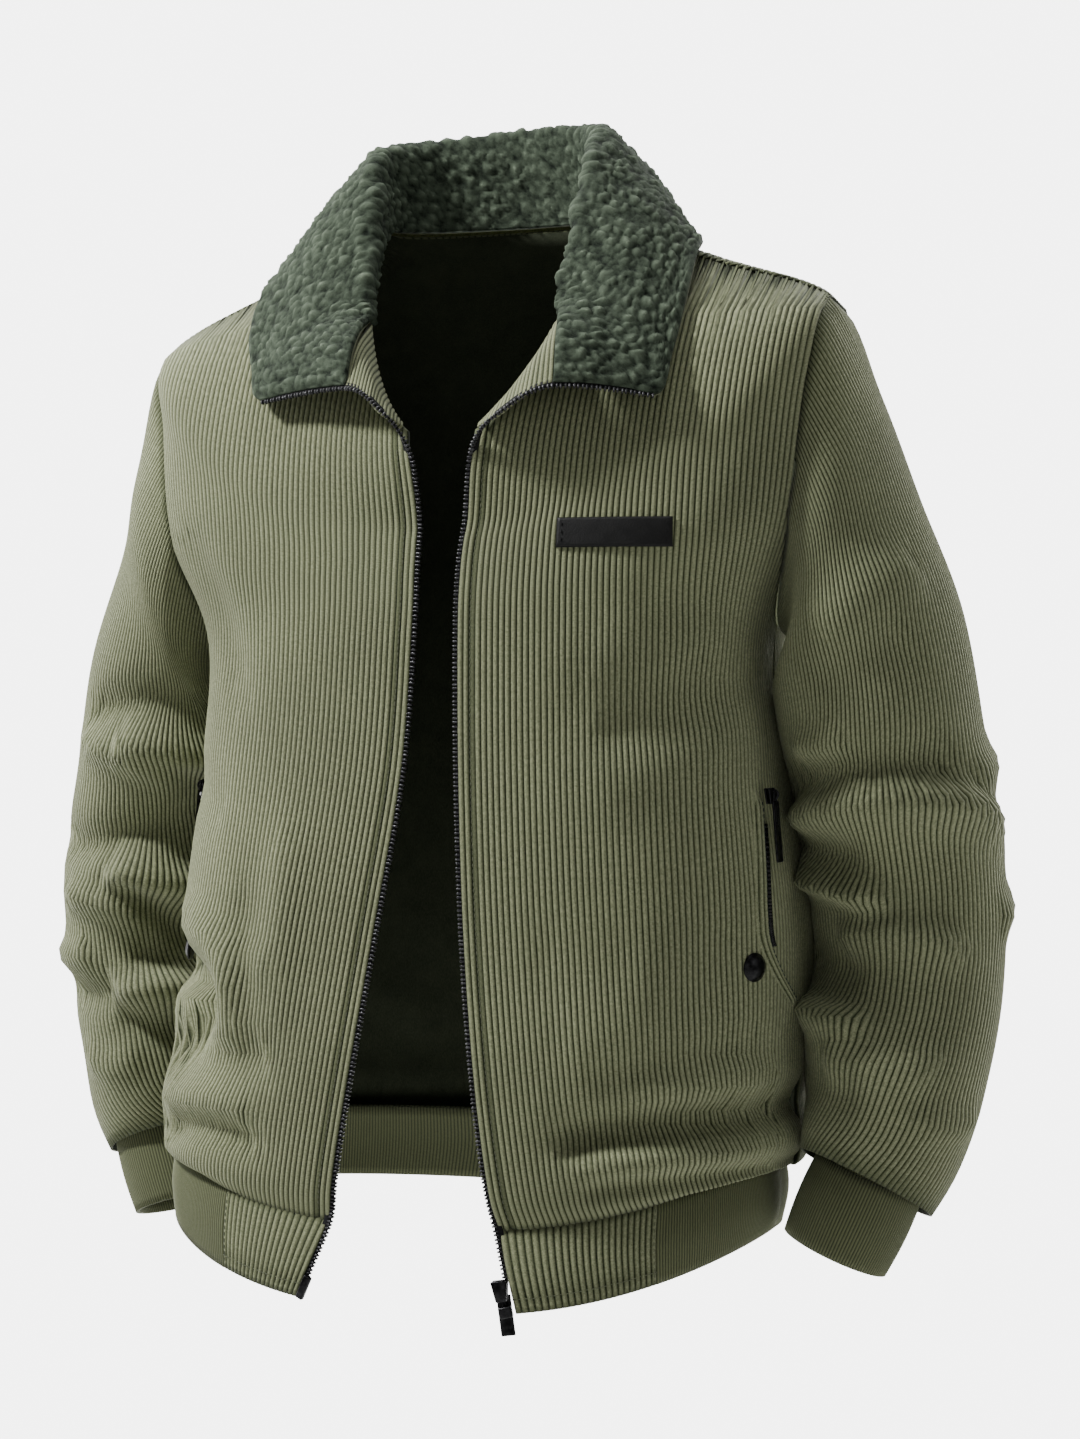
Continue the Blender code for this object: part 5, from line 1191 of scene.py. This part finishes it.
nearNeck = np.meshgrid(np.linspace(-180.0, 180.0, 361), np.linspace(6.5, neckRow, 71))
shoulders = searchable((ring(torsoRows, *nearNeck), outward(torsoRows, *nearNeck)))


def neckRing(turn):
    return ring(torsoRows, turn, float(neckRow))


def cornerLine(side):
    # zip's line from the collar's tip to the neck seam, and on to the front edge
    end = neckRing(float(zipTurn(side, float(neckRow))) * sideSign[side])
    seam = np.array(collar["zipSeam"][side])
    line = smoothCurve([collarTip[side], seam, np.array(collar["zipBend"][side]), end], 61)
    middle = int(np.argmin(np.linalg.norm(line - seam, axis=1)))
    return line[:middle + 1], line[middle:]


def collarSection(neck, crest, edge, count):
    # neck seam, up to the fold line, over it and down to the free edge
    out = unit((edge - crest) * np.array([1.0, 1.0, 0.0]))
    radius = collar["foldRadius"] * min(1.0, np.linalg.norm(crest - neck) / 0.03)
    dip = np.array([0.0, 0.0, -0.8 * radius])
    rise = unit(np.cross(np.cross(out, edge - crest), edge - crest))
    rise = rise if rise[2] > 0 else -rise
    fall = crest + out * radius + dip
    belly = [fall + (edge - fall) * share + rise * collar["bulge"] * math.sin(math.pi * share)
             for share in (0.33, 0.67)]
    return smoothCurve([neck, crest - out * radius + dip, crest, fall, *belly, edge], count)


def collarHalf(side):
    # sections of half the collar, from the centre back to the seam on the front corner
    columns, sign = collarRows[side], sideSign[side]
    sections = []
    for place in np.linspace(0.0, len(columns["turn"]) - 1, collar["stations"]):
        crest, edge = (readPoint(columns, place, kind) * flips[side] for kind in ("crest", "edge"))
        sections.append((float(read(columns, "turn", place)) * sign, crest, edge))
    tip = sections[-1]
    seamTurn = collar["seamTurn"] * sign
    seamCrest = neckRing(seamTurn) + np.array([0, 0, collar["seamLift"]])
    edges = cornerLine(side)[0]
    for share in collar["shares"]:
        sections.append((tip[0] + (seamTurn - tip[0]) * share, tip[1] + (seamCrest - tip[1]) * share,
                         edges[int(round(share * (len(edges) - 1)))]))
    foot = np.array([0.0, 0.0, collar["neckLift"]])
    drawn = np.stack([collarSection(neckRing(turn) + foot, crest, edge, collar["rows"] + 1)
                      for turn, crest, edge in sections])
    fall = drawn[:, collar["fallRow"]:]
    shift = clearOf(fall, shoulders, collar["clear"]) - fall
    for _ in range(2):
        shift[1:-1] = (shift[:-2] + 2 * shift[1:-1] + shift[2:]) / 4
        shift[:, 1:-1] = (shift[:, :-2] + 2 * shift[:, 1:-1] + shift[:, 2:]) / 4
    drawn[:, collar["fallRow"]:] = clearOf(fall + shift, shoulders, collar["clear"] * 0.8)
    return drawn


collarPoints = np.concatenate([collarHalf("left")[::-1], collarHalf("right")[1:]]).transpose(1, 0, 2)
collarBase = fineGrid(collarPoints, *collar["fine"])


def curls(points):
    # curly pile: rounded clumps of several sizes over a slow wander
    noise.seed_set(collar["seed"])
    often, far = collar["wander"]
    values = np.zeros(len(points))
    for index, point in enumerate(points):
        spot = Vector(point)
        spot = spot + noise.noise_vector(spot * often) * far
        large = noise.voronoi(spot / collar["curl"])[0]
        small = noise.voronoi(spot / (collar["curl"] * 0.52))[0]
        clump = 1.0 - min(1.0, large[0] * 1.15)
        groove = min(1.0, (large[1] - large[0]) * 2.2)
        fine = 1.0 - min(1.0, small[0] * 1.1)
        # the same value shapes the pile and picks its colour, with low values painted as shade between the
        # clumps
        values[index] = 0.50 * clump * (0.5 + 0.5 * groove) + 0.22 * groove + 0.32 * fine
    return np.clip(values, 0.0, 1.0)


def makeCollar():
    curl = curls(collarBase.reshape(-1, 3)).reshape(collarBase.shape[:2])
    across = np.linspace(0.0, 1.0, collar["fine"][0])[:, None]
    along = np.linspace(0.0, 1.0, collar["fine"][1])[None, :]
    edge = ease((1.0 - across) / 0.05) * ease(np.minimum(along, 1 - along) / 0.012)
    pile = walls["fleece"] * 0.60 + collar["depth"] * (curl - 0.45)
    thick = walls["fleece"] * 0.35 + pile * (0.25 + 0.75 * edge)
    outer = collarBase - gridNormals(collarBase) * thick[..., None]
    piece = wall("fleece_collar", outer, collarBase, curl, [fleeceLook], flip=True)
    settle(piece, "jacket", "fleece", "collar")
    plain = fineGrid(collarPoints, *collar["plain"])
    side = gridNormals(plain)
    above = plain + side * seams["gap"]
    below = above + side * walls["underCollar"]
    under = corduroyPiece("under_collar_cloth", "under_collar", below, above, 0.6,
                          ("corduroyUnderCollar", 0.70, 0.18), [edgeCloth])


def facingPoints(side, count, rows):
    # turned-back corner of the front between the neck seam, the fold and the zip
    start, stop = collar["seamTurn"], float(zipTurn(side, float(neckRow)))
    zipLine = resample(cornerLine(side)[1], 101)
    columns = []
    for share in np.linspace(0.0, facing["share"], count + 1):
        crest = neckRing((start + (stop - start) * share) * sideSign[side])
        lifted = crest + np.array([0.0, -0.0006, facing["lift"] + facing["slack"] * (1 - share)])
        edge = zipLine[int(round(share * 100))]
        rise = np.array([0.0, -0.35, 0.94]) * facing["bulge"] * (1 - share)
        columns.append(smoothCurve([lifted, (lifted + edge) / 2 + rise, edge], rows + 1))
    return np.stack(columns, axis=1)


def gridArea(points):
    right, up = np.diff(points, axis=1)[:-1], np.diff(points, axis=0)[:, :-1]
    return float(np.linalg.norm(np.cross(right, up), axis=-1).sum())


def makeFacing(side):
    points = facingPoints(side, facing["wales"] * cord["steps"], 30)
    normal = gridNormals(points, np.broadcast_to(np.array([0.0, -0.5, 0.8]), points.shape))
    pile = walePile(points.shape[1])[None, :] * np.ones((len(points), 1))
    height = walls["facing"] / 2 + cord["pile"] * facing["pile"] * pile - cord["sink"]
    piece = corduroyPiece(f"corduroy_facing_{side}", f"facing_{side}", points + normal * height[..., None],
                          points - normal * walls["facing"] / 2, pile,
                          (f"corduroyFacing{side.title()}", 0.09, 0.07), (), flip=side == "left")
    gridArea(points)


makeCollar()
for side in sideSign:
    makeFacing(side)
print("collar made")

# main zip
zipper = {
    "pace": 0.0026,       # from tooth to tooth
    "teeth": ((0.0026, 0.0026, 0.0013), 0.0004),        # size and rounding
    "coil": ((0.0016, 0.0010, 0.0011), 0.0003),
    "tuck": 0.0030,       # tape under the cloth's edge
    "shown": 0.0020,      # and beyond it
    "thin": 0.0005,       # half the tape's thickness
    "width": 0.0045,      # of the tape and chain
    "skip": {"left": 0.0240, "right": 0.0165},      # edge taken by the slider, and by the pin
    "clear": 0.0010,      # from the end pieces to the cloth's edge
    "slider": (0.0095, 0.0075, 0.0130),
    "pull": (0.0090, 0.0016, 0.0270),
    "ends": (("zip_retainer", "left", 1.93, (0.0085, 0.0045, 0.0070)),
             ("zip_pin", "right", 1.72, (0.0050, 0.0035, 0.0160))),
}


def zipRoute(side):
    # edge that carries the zip, hem first: points, the way out of the cloth and its face
    sign = sideSign[side]
    edges, inside = [], []
    for level in np.linspace(2.0, 0.1, 9):
        for line, more in ((edges, 0.0), (inside, 2.0)):
            line.append(ring(hemRows, (hemTurn(side, level) + more) * sign, level))
    for level in np.linspace(0.0, neckRow - 0.3, 90):
        for line, more in ((edges, 0.0), (inside, 2.0)):
            line.append(body(side, (zipTurn(side, level) + more) * sign, np.array(level)))
    corner = facingPoints(side, 20, 8)
    edges += list(corner[-1, :-2][::-1])
    inside += list(corner[-2, :-2][::-1])
    eighth = collar["fine"][1] // 8
    run = collarBase[:, :eighth] if side == "left" else collarBase[:, :-eighth - 1:-1]
    last = int(np.argmin(np.linalg.norm(run[-1] - collarTip[side], axis=1)))
    edges += list(run[-1, 2:last:3])
    inside += list(run[-4, 2:last:3])
    edges = np.array(edges)
    away = unit(edges - np.array(inside))
    for _ in range(12):
        away[1:-1] = unit(away[:-2] + 2 * away[1:-1] + away[2:])
        edges[1:-1] = (edges[:-2] + 2 * edges[1:-1] + edges[2:]) / 4
    edges, away = resample(edges, 900, away)
    along = unit(np.gradient(edges, axis=0))
    return edges, away, along, unit(np.cross(along, away)) * sign


def makeZip(side):
    route = zipRoute(side)
    step = float(np.linalg.norm(route[0][1] - route[0][0]))
    skip = int(zipper["skip"][side] / step) - 3
    edges, away, along, face = (part[skip:] for part in route)
    middle = edges - face * walls["corduroy"] * 0.55
    shares = np.array([-zipper["tuck"], 0.0, zipper["shown"]])
    tape = middle[::4][:, None] + away[::4][:, None] * shares[None, :, None]
    thin = face[::4][:, None] * zipper["thin"]
    piece = wall(f"zip_tape_{side}_cloth", tape + thin, tape - thin, 0.0, [tapeCloth], flip=side == "left")
    settle(piece, "jacket", "zip_tape", f"zip_tape_{side}")
    length = len(edges) * step
    zipper["width"] * 2.4
    length * (zipper["tuck"] + zipper["shown"])
    places = np.linspace(2, len(edges) - 3, int(length / zipper["pace"])).astype(int)
    for name, out, over in (("teeth", 1.0, 0.0), ("coil", 0.4, 0.0007)):
        at = middle + away * (zipper["shown"] * out) + face * over
        frames = [frameAt(at[place], along[place], face[place]) for place in places]
        shape = roundedBox(name, *zipper[name], 1)
        settle(copies(f"zip_{name}_{side}", shape, frames, toothMetal), "jacket", "black_metal")


def nodeCentre(name):
    low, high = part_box(name)
    return (Vector(low) + Vector(high)) / 2


def pullFrame(name):
    # axes of a pull as its joint gives them: X along the pin, Z up the pull, -Y its face
    joint = next(item for item in frame["joints"] if item["child"] == name)
    pin = Vector(joint["pos_m"])
    xAxis = -Vector(joint["axis"]).normalized()
    zAxis = pin - nodeCentre(name)
    zAxis = (zAxis - xAxis * zAxis.dot(xAxis)).normalized()
    return axes(xAxis, zAxis.cross(xAxis), zAxis, pin)


def finished(name, pieces, matrix, body, node):
    # several modelled pieces of black metal as one object, moved into place
    selected(*pieces)
    if len(pieces) > 1:
        bpy.ops.object.join()
    piece = bpy.context.object
    piece.name = piece.data.name = name
    piece.data.materials.clear()
    piece.data.materials.append(blackMetal)
    piece.data.transform(matrix)
    settle(piece, body, "black_metal", node)


def tube(name, points, radius):
    # round wire along a few points
    curve = bpy.data.curves.new(name, "CURVE")
    curve.dimensions = "3D"
    curve.bevel_depth = radius
    curve.bevel_resolution = 3
    curve.resolution_u = 8
    curve.use_fill_caps = True
    line = curve.splines.new("BEZIER")
    line.bezier_points.add(len(points) - 1)
    for knot, point in zip(line.bezier_points, points):
        knot.co = point
        knot.handle_left_type = knot.handle_right_type = "AUTO"
    wire = linked(name, curve)
    bpy.context.view_layer.update()
    mesh = bpy.data.meshes.new_from_object(wire.evaluated_get(bpy.context.evaluated_depsgraph_get()))
    bpy.data.objects.remove(wire, do_unlink=True)
    mesh.shade_smooth()
    return linked(name, mesh)


pullCut = {
    "top": -0.0036,       # upper edge of the plate under the pin
    "short": 0.002,       # how much shorter the plate is than the solid
    "rounded": 0.0006,
    "rim": (0.0009, -0.0003),       # width of the rim and depth of the flat inside it
    "wire": 0.00062,
    "below": 0.0030,      # from the plate's top to its window
}


def makePull(name, size, slot):
    # flat pull with a rim, a slot and an eye round the pin
    width, thickness, length = size
    length -= pullCut["short"]
    top = pullCut["top"]
    plate = roundedBox("plate", (width, thickness, length), pullCut["rounded"], 2)
    mesh = bmesh.new()
    mesh.from_mesh(plate.data)
    least = width * size[2] * 0.4
    flats = [face for face in mesh.faces if abs(face.normal.y) > 0.99 and face.calc_area() > least]
    bmesh.ops.inset_individual(mesh, faces=flats, thickness=pullCut["rim"][0], depth=pullCut["rim"][1])
    mesh.to_mesh(plate.data)
    mesh.free()
    plate.data.transform(Matrix.Translation((0.0, 0.0, top - length / 2)))
    ends = [(0.0011, 0.0, top - 0.001), (0.0012, 0.0, -0.0006)]
    mirrored = [(-across, 0.0, up) for across, _, up in ends]
    eye = tube("eye", [*mirrored, (0.0, 0.0, 0.0021), *ends[::-1]], pullCut["wire"])
    window = roundedBox("window", (width * 0.36, thickness * 1.08, slot), 0.0005, 2,
                        (0.0, 0.0, top - pullCut["below"] - slot / 2))
    finished(f"{name}_tab", [plate, eye, window], pullFrame(name), name, name)


def makeSlider(name, pull, size):
    # slider body: two shoulders above, narrower below, with a bail that carries the pull
    width, depth, height = size
    matrix = pullFrame(pull)
    turned = matrix.to_3x3()
    inside = turned.transposed() @ (nodeCentre(name) - matrix.translation)
    matrix.translation += turned @ Vector((0.0, inside.y + depth * 0.12, inside.z))
    leaf = roundedBox("leaf", (width, depth * 0.30, height), depth * 0.12, 2)
    for vert in leaf.data.vertices:
        share = 0.5 + vert.co.z / height
        vert.co.x *= 0.66 + 0.42 * math.sin(min(1.0, share * 1.25) * math.pi * 0.5)
    back = linked("back", leaf.data.copy())
    for half, way in ((leaf, -1), (back, 1)):
        half.data.transform(Matrix.Translation((0.0, depth * 0.32 * way, 0.0)))
    core = roundedBox("core", (width * 0.34, depth * 0.7, height * 0.5), depth * 0.08, 2,
                      (0.0, 0.0, height * 0.22))
    face = -depth * 0.45
    bail = tube("bail", [(0.0, face, height * 0.38), (0.0, face - 0.0030, height * 0.24),
                         (0.0, face - 0.0034, -height * 0.05), (0.0, face, -height * 0.30)], 0.0009)
    finished(f"{name}_body", [leaf, back, core, bail], matrix, "jacket", name)


def makeEnd(name, side, level, size):
    # a block just off the hem band's zip edge, its outer face at -Y
    sign = sideSign[side]
    turn, low = hemTurn(side, level) * sign, min(level + 0.1, 2.0)
    point = ring(hemRows, turn, level)
    away = unit(point - ring(hemRows, turn + 2.0 * sign, level))
    lower, upper = (ring(hemRows, hemTurn(side, near) * sign, near) for near in (low, level - 0.1))
    face = outward(hemRows, turn, level)
    middle = point - face * walls["corduroy"] * 0.5 + away * (zipper["clear"] + size[0] * 0.5)
    block = roundedBox("block", size, min(size) * 0.25, 3)
    finished(f"{name}_block", [block], frameAt(middle, unit(upper - lower), -face), "jacket", name)


for side in sideSign:
    makeZip(side)
makeSlider("zip_slider", "zip_pull", zipper["slider"])
makePull("zip_pull", zipper["pull"], 0.0075)
for end in zipper["ends"]:
    makeEnd(*end)
print("zip made")

# side pockets, and the leather patch on the chest, left bare
pocket = {
    "slit": table("turn level", """
74.6 3.86
72.4 3.45
71 3.12
72 2.92
77 2.72
86 2.5
"""),
    "shift": {"left": 0.0, "right": 12.0},      # the worn jacket is turned a little on the body
    "end": {"left": 1.0, "right": 0.70},        # share of the slit before the side seam
    "rows": 90,
    "lip": 0.011,         # width of the lip
    "thick": 0.0016,
    "over": 0.0004,       # clear of the panel beneath
    "tape": 0.0050,
    "shown": (0.10, 0.62),      # stretch of the slit that shows the tape
    "teeth": 0.0022,
    "slider": (0.0070, 0.0044, 0.0100),
    "pull": (0.0072, 0.0015, 0.0400),
}
snap = {
    "turn": 66.1, "level": 2.78, "radius": 0.0089, "height": 0.0048, "under": -0.0004,
    "profile": table("across up", """
0 .92
.3 .9
.62 .76
.82 .52
.9 .34
.93 .3
1 .26
1.02 .12
1 0
"""),
}
patch = {
    "centre": (0.1225, -0.187),
    "size": (0.069, 0.0180),
    "lift": 0.0009,       # over the wales
    "thick": 0.0018,
    "crease": 0.0003,     # where the stitching draws it in
    "points": (61, 19),   # mesh columns and rows
    "stitches": 3,        # column of the stitching at each short end
}


def pocketStrip(side, turn, level, distances):
    # grid of points on the body at distances from the slit towards the front, with its normals
    points, out = [], []
    for distance in distances:
        near = ring(torsoRows, turn * sideSign[side], level)
        far = ring(torsoRows, (turn - 2.0) * sideSign[side], level)
        rate = np.linalg.norm(near - far, axis=-1) / 2.0
        here = (turn - distance / rate) * sideSign[side]
        points.append(body(side, here, level))
        out.append(outward(torsoRows, here, level))
    return np.stack(points, axis=1), np.stack(out, axis=1)


def slit(side, count, start=0.0, stop=1.0):
    # turns and levels along a stretch of the pocket's slit, top first
    along = np.linspace(start, stop, count) * (len(pocket["slit"]["turn"]) - 1) * pocket["end"][side]
    return read(pocket["slit"], "turn", along) + pocket["shift"][side], read(pocket["slit"], "level", along)


def makeLip(side):
    # folded lip of the pocket: three wales wide, stitched along its edge
    count = 3 * cord["steps"] + 1
    points, out = pocketStrip(side, *slit(side, pocket["rows"]), np.linspace(0.0, pocket["lip"], count))
    across = np.linspace(0.0, 1.0, count)[None, :]
    along = np.linspace(0.0, 1.0, len(points))[:, None]
    settled = ease((1.0 - across) / 0.6) * ease(along / 0.06) * ease((1.0 - along) / 0.06)
    pile = walePile(count)[None, :] * np.ones((len(points), 1))
    height = (pocket["over"] + pocket["thick"]) * settled - pocket["over"]
    height = height + cord["pile"] * 0.8 * pile - cord["sink"] * 0.6
    outer = points + out * height[..., None]
    inner = points + out * (np.minimum(height, 0.0) - 0.0010)[..., None]
    piece = corduroyPiece(f"pocket_lip_{side}", f"pocket_welt_{side}", outer, inner, pile,
                          (f"corduroyWelt{side.title()}", pocket["lip"], 0.13), (), flip=side == "right")
    stitchLine(f"pocket_stitch_{side}", outer[3:-3, 1], out[3:-3, 1], edgeCloth)


def makePocketZip(side):
    width = pocket["tape"]
    points, out = pocketStrip(side, *slit(side, 60, *pocket["shown"]), (-width, -width * 0.5, -0.0002))
    sunk = points - out * 0.0002
    piece = wall(f"pocket_zip_cloth_{side}", sunk + out * 0.0012, sunk, 0.0, [tapeCloth],
                 flip=side == "right")
    settle(piece, "jacket", "zip_tape", f"pocket_tape_{side}")
    line, face = points[:, 1], out[:, 1]
    length = float(runLength(line)[-1])
    way = unit(np.gradient(line, axis=0))
    frames = []
    for place in np.linspace(1, len(line) - 2, int(length / pocket["teeth"])):
        row = int(place)
        at = line[row] + (line[row + 1] - line[row]) * (place - row) + face[row] * 0.0013
        frames.append(frameAt(at, way[row], face[row]))
    tooth = roundedBox("tooth", (0.0026, 0.0010, 0.0012), 0.0003, 1)
    settle(copies(f"pocket_teeth_{side}", tooth, frames, toothMetal), "jacket", "black_metal")


def makeSnap(side):
    # domed cap with a rolled rim, its profile turned about its axis
    turn = np.array([(snap["turn"] + pocket["shift"][side]) * sideSign[side]])
    face = Vector(outward(torsoRows, turn, np.array([snap["level"]]))[0])
    shape = [(across, up * snap["height"]) for across, up in zip(*snap["profile"].values())]
    shape += [(0.6, snap["under"]), (0.0, snap["under"])]
    mesh = bpy.data.meshes.new("snap")
    mesh.from_pydata([(across * snap["radius"], 0.0, up) for across, up in shape],
                     [(step, step + 1) for step in range(len(shape) - 1)], [])
    cap = linked(f"pocket_snap_cap_{side}", mesh)
    turned = cap.modifiers.new("Turned", "SCREW")
    turned.angle = math.tau
    turned.steps = turned.render_steps = 40
    turned.use_merge_vertices = True
    turned.merge_threshold = 0.00001
    turned.use_normal_calculate = True
    applyAll(cap)
    cap.data.shade_smooth()
    base = nodeCentre(f"pocket_snap_{side}") - face * snap["height"] * 0.5
    stand = Matrix.Translation(base) @ face.to_track_quat("Z", "Y").to_matrix().to_4x4()
    finished(cap.name, [cap], stand, "jacket", f"pocket_snap_{side}")


def findPlace(x, z):
    # turn and level of the point of the front at x and z
    turn, level = np.full(np.shape(x), 40.0), np.full(np.shape(x), 6.0)
    for _ in range(30):
        here = ring(torsoRows, turn, level)
        right = ring(torsoRows, turn + 0.5, level)
        above = ring(torsoRows, turn, level + 0.02)
        turn = turn + (x - here[..., 0]) / (right[..., 0] - here[..., 0]) * 0.5 * 0.7
        level = level + (z - here[..., 2]) / (above[..., 2] - here[..., 2]) * 0.02 * 0.7
    return turn, level


def makePatch():
    lines = [centre + np.linspace(-0.5, 0.5, count) * size
             for centre, count, size in zip(patch["centre"], patch["points"], patch["size"])]
    turn, level = findPlace(*np.meshgrid(*lines))
    points = body("left", turn, level)
    out = outward(torsoRows, turn, level)
    fromSides, fromTop = (1 - np.abs(np.linspace(-1.0, 1.0, count)) for count in patch["points"])
    fromTop = fromTop[:, None]
    edge = ease(fromSides / 0.030) * ease(fromTop / 0.12)
    crease = np.exp(-((fromSides - 0.085) / 0.012) ** 2) + np.exp(-((fromTop - 0.26) / 0.05) ** 2) * 0.6
    height = patch["lift"] + patch["thick"] * (0.45 + 0.55 * edge) - patch["crease"] * np.minimum(crease, 1.0)
    piece = wall("leather_patch", points + out * height[..., None], points - out * 0.0002, 0.0, [patchLook])
    settle(piece, "jacket", "patch_leather", "label_patch")
    for column in (patch["stitches"], patch["points"][0] - 1 - patch["stitches"]):
        line = (points + out * (height + 0.0001)[..., None])[2:-2, column]
        stitchLine(f"patch_stitch_{column}", line, out[2:-2, column], tapeCloth)


for side in sideSign:
    makeLip(side)
    makePocketZip(side)
    makeSlider(f"pocket_slider_{side}", f"pocket_pull_{side}", pocket["slider"])
    makePull(f"pocket_pull_{side}", pocket["pull"], 0.012)
    makeSnap(side)
makePatch()
print("pockets and patch made")

# camera, light and ground
camera = {
    "turn": math.radians(20.0), "distance": 1.8, "side": 0.029, "height": -0.30,
    "lens": 36.0 * 2727.0 / 1439.0,
}
studio = {
    "floor": -1.25, "behind": 1.35, "glow": 5.6, "air": 0.03,
    # place, target, size and power
    "lights": {"key": ((-1.55, -1.0, 1.5), (0.0, 0.0, -0.2), 0.42, 104.0),
               "front": ((0.9, -3.0, 0.2), (0.0, 0.0, -0.3), 2.2, 8.0),
               "top": ((0.3, -0.5, 2.2), (0.0, 0.0, -0.2), 0.9, 14.0),
               "side": ((2.6, -0.6, 0.6), (0.2, 0.0, -0.3), 1.6, 9.0)},
}


def makeCamera():
    data = bpy.data.cameras.new("camera")
    data.sensor_fit = "VERTICAL"
    data.sensor_width = data.sensor_height = 36.0
    data.lens = camera["lens"]
    eye = linked("camera", data)
    sine, cosine = math.sin(camera["turn"]), math.cos(camera["turn"])
    aim = Vector((cosine, sine, 0.0)) * camera["side"] + Vector((0.0, 0.0, camera["height"]))
    eye.location = aim + Vector((sine, -cosine, 0.0)) * camera["distance"]
    eye.rotation_euler = (math.radians(90.0), 0.0, camera["turn"])
    bpy.context.scene.camera = eye


def plainSheet(name, size, glow, tone, matrix):
    bpy.ops.mesh.primitive_plane_add(size=size)
    sheet = bpy.context.object
    sheet.name = name
    sheet.data.transform(matrix)
    paint = Finish(f"{name}Paint", Roughness=1.0, Emission_Color=(1.0, 1.0, 1.0, 1.0), Emission_Strength=glow)
    soft = paint.noise(paint.objectSpace(), 0.4, 1.0)
    paint.wear("Base Color", paint.mix(soft, tone, tuple(part * 1.02 for part in tone)))
    sheet.data.materials.append(paint.material)


def makeStudio():
    # pale floor, and a plain glowing sheet behind the jacket, square to the camera
    plainSheet("studioFloor", 8.0, 0.0, (0.50, 0.50, 0.49), Matrix.Translation((0.0, 0.0, studio["floor"])))
    stand = Matrix.Rotation(camera["turn"], 4, "Z") @ Matrix.Translation((0.0, studio["behind"], 1.6))
    stand = stand @ Matrix.Rotation(math.radians(90.0), 4, "X")
    plainSheet("studioBackdrop", 6.0, studio["glow"], (0.0, 0.0, 0.0), stand)
    world = bpy.data.worlds.new("studioAir")
    bpy.context.scene.world = world
    world.use_nodes = True
    world.node_tree.nodes["Background"].inputs["Color"].default_value = (1.0, 1.0, 1.0, 1.0)
    world.node_tree.nodes["Background"].inputs["Strength"].default_value = studio["air"]
    for name, (place, target, size, power) in studio["lights"].items():
        data = bpy.data.lights.new(name, "AREA")
        data.shape = "DISK"
        data.size = size
        data.energy = power
        lamp = linked(name, data)
        lamp.location = place
        lamp.rotation_euler = (Vector(target) - Vector(place)).to_track_quat("-Z", "Y").to_euler()


makeCamera()
makeStudio()
print("studio set")
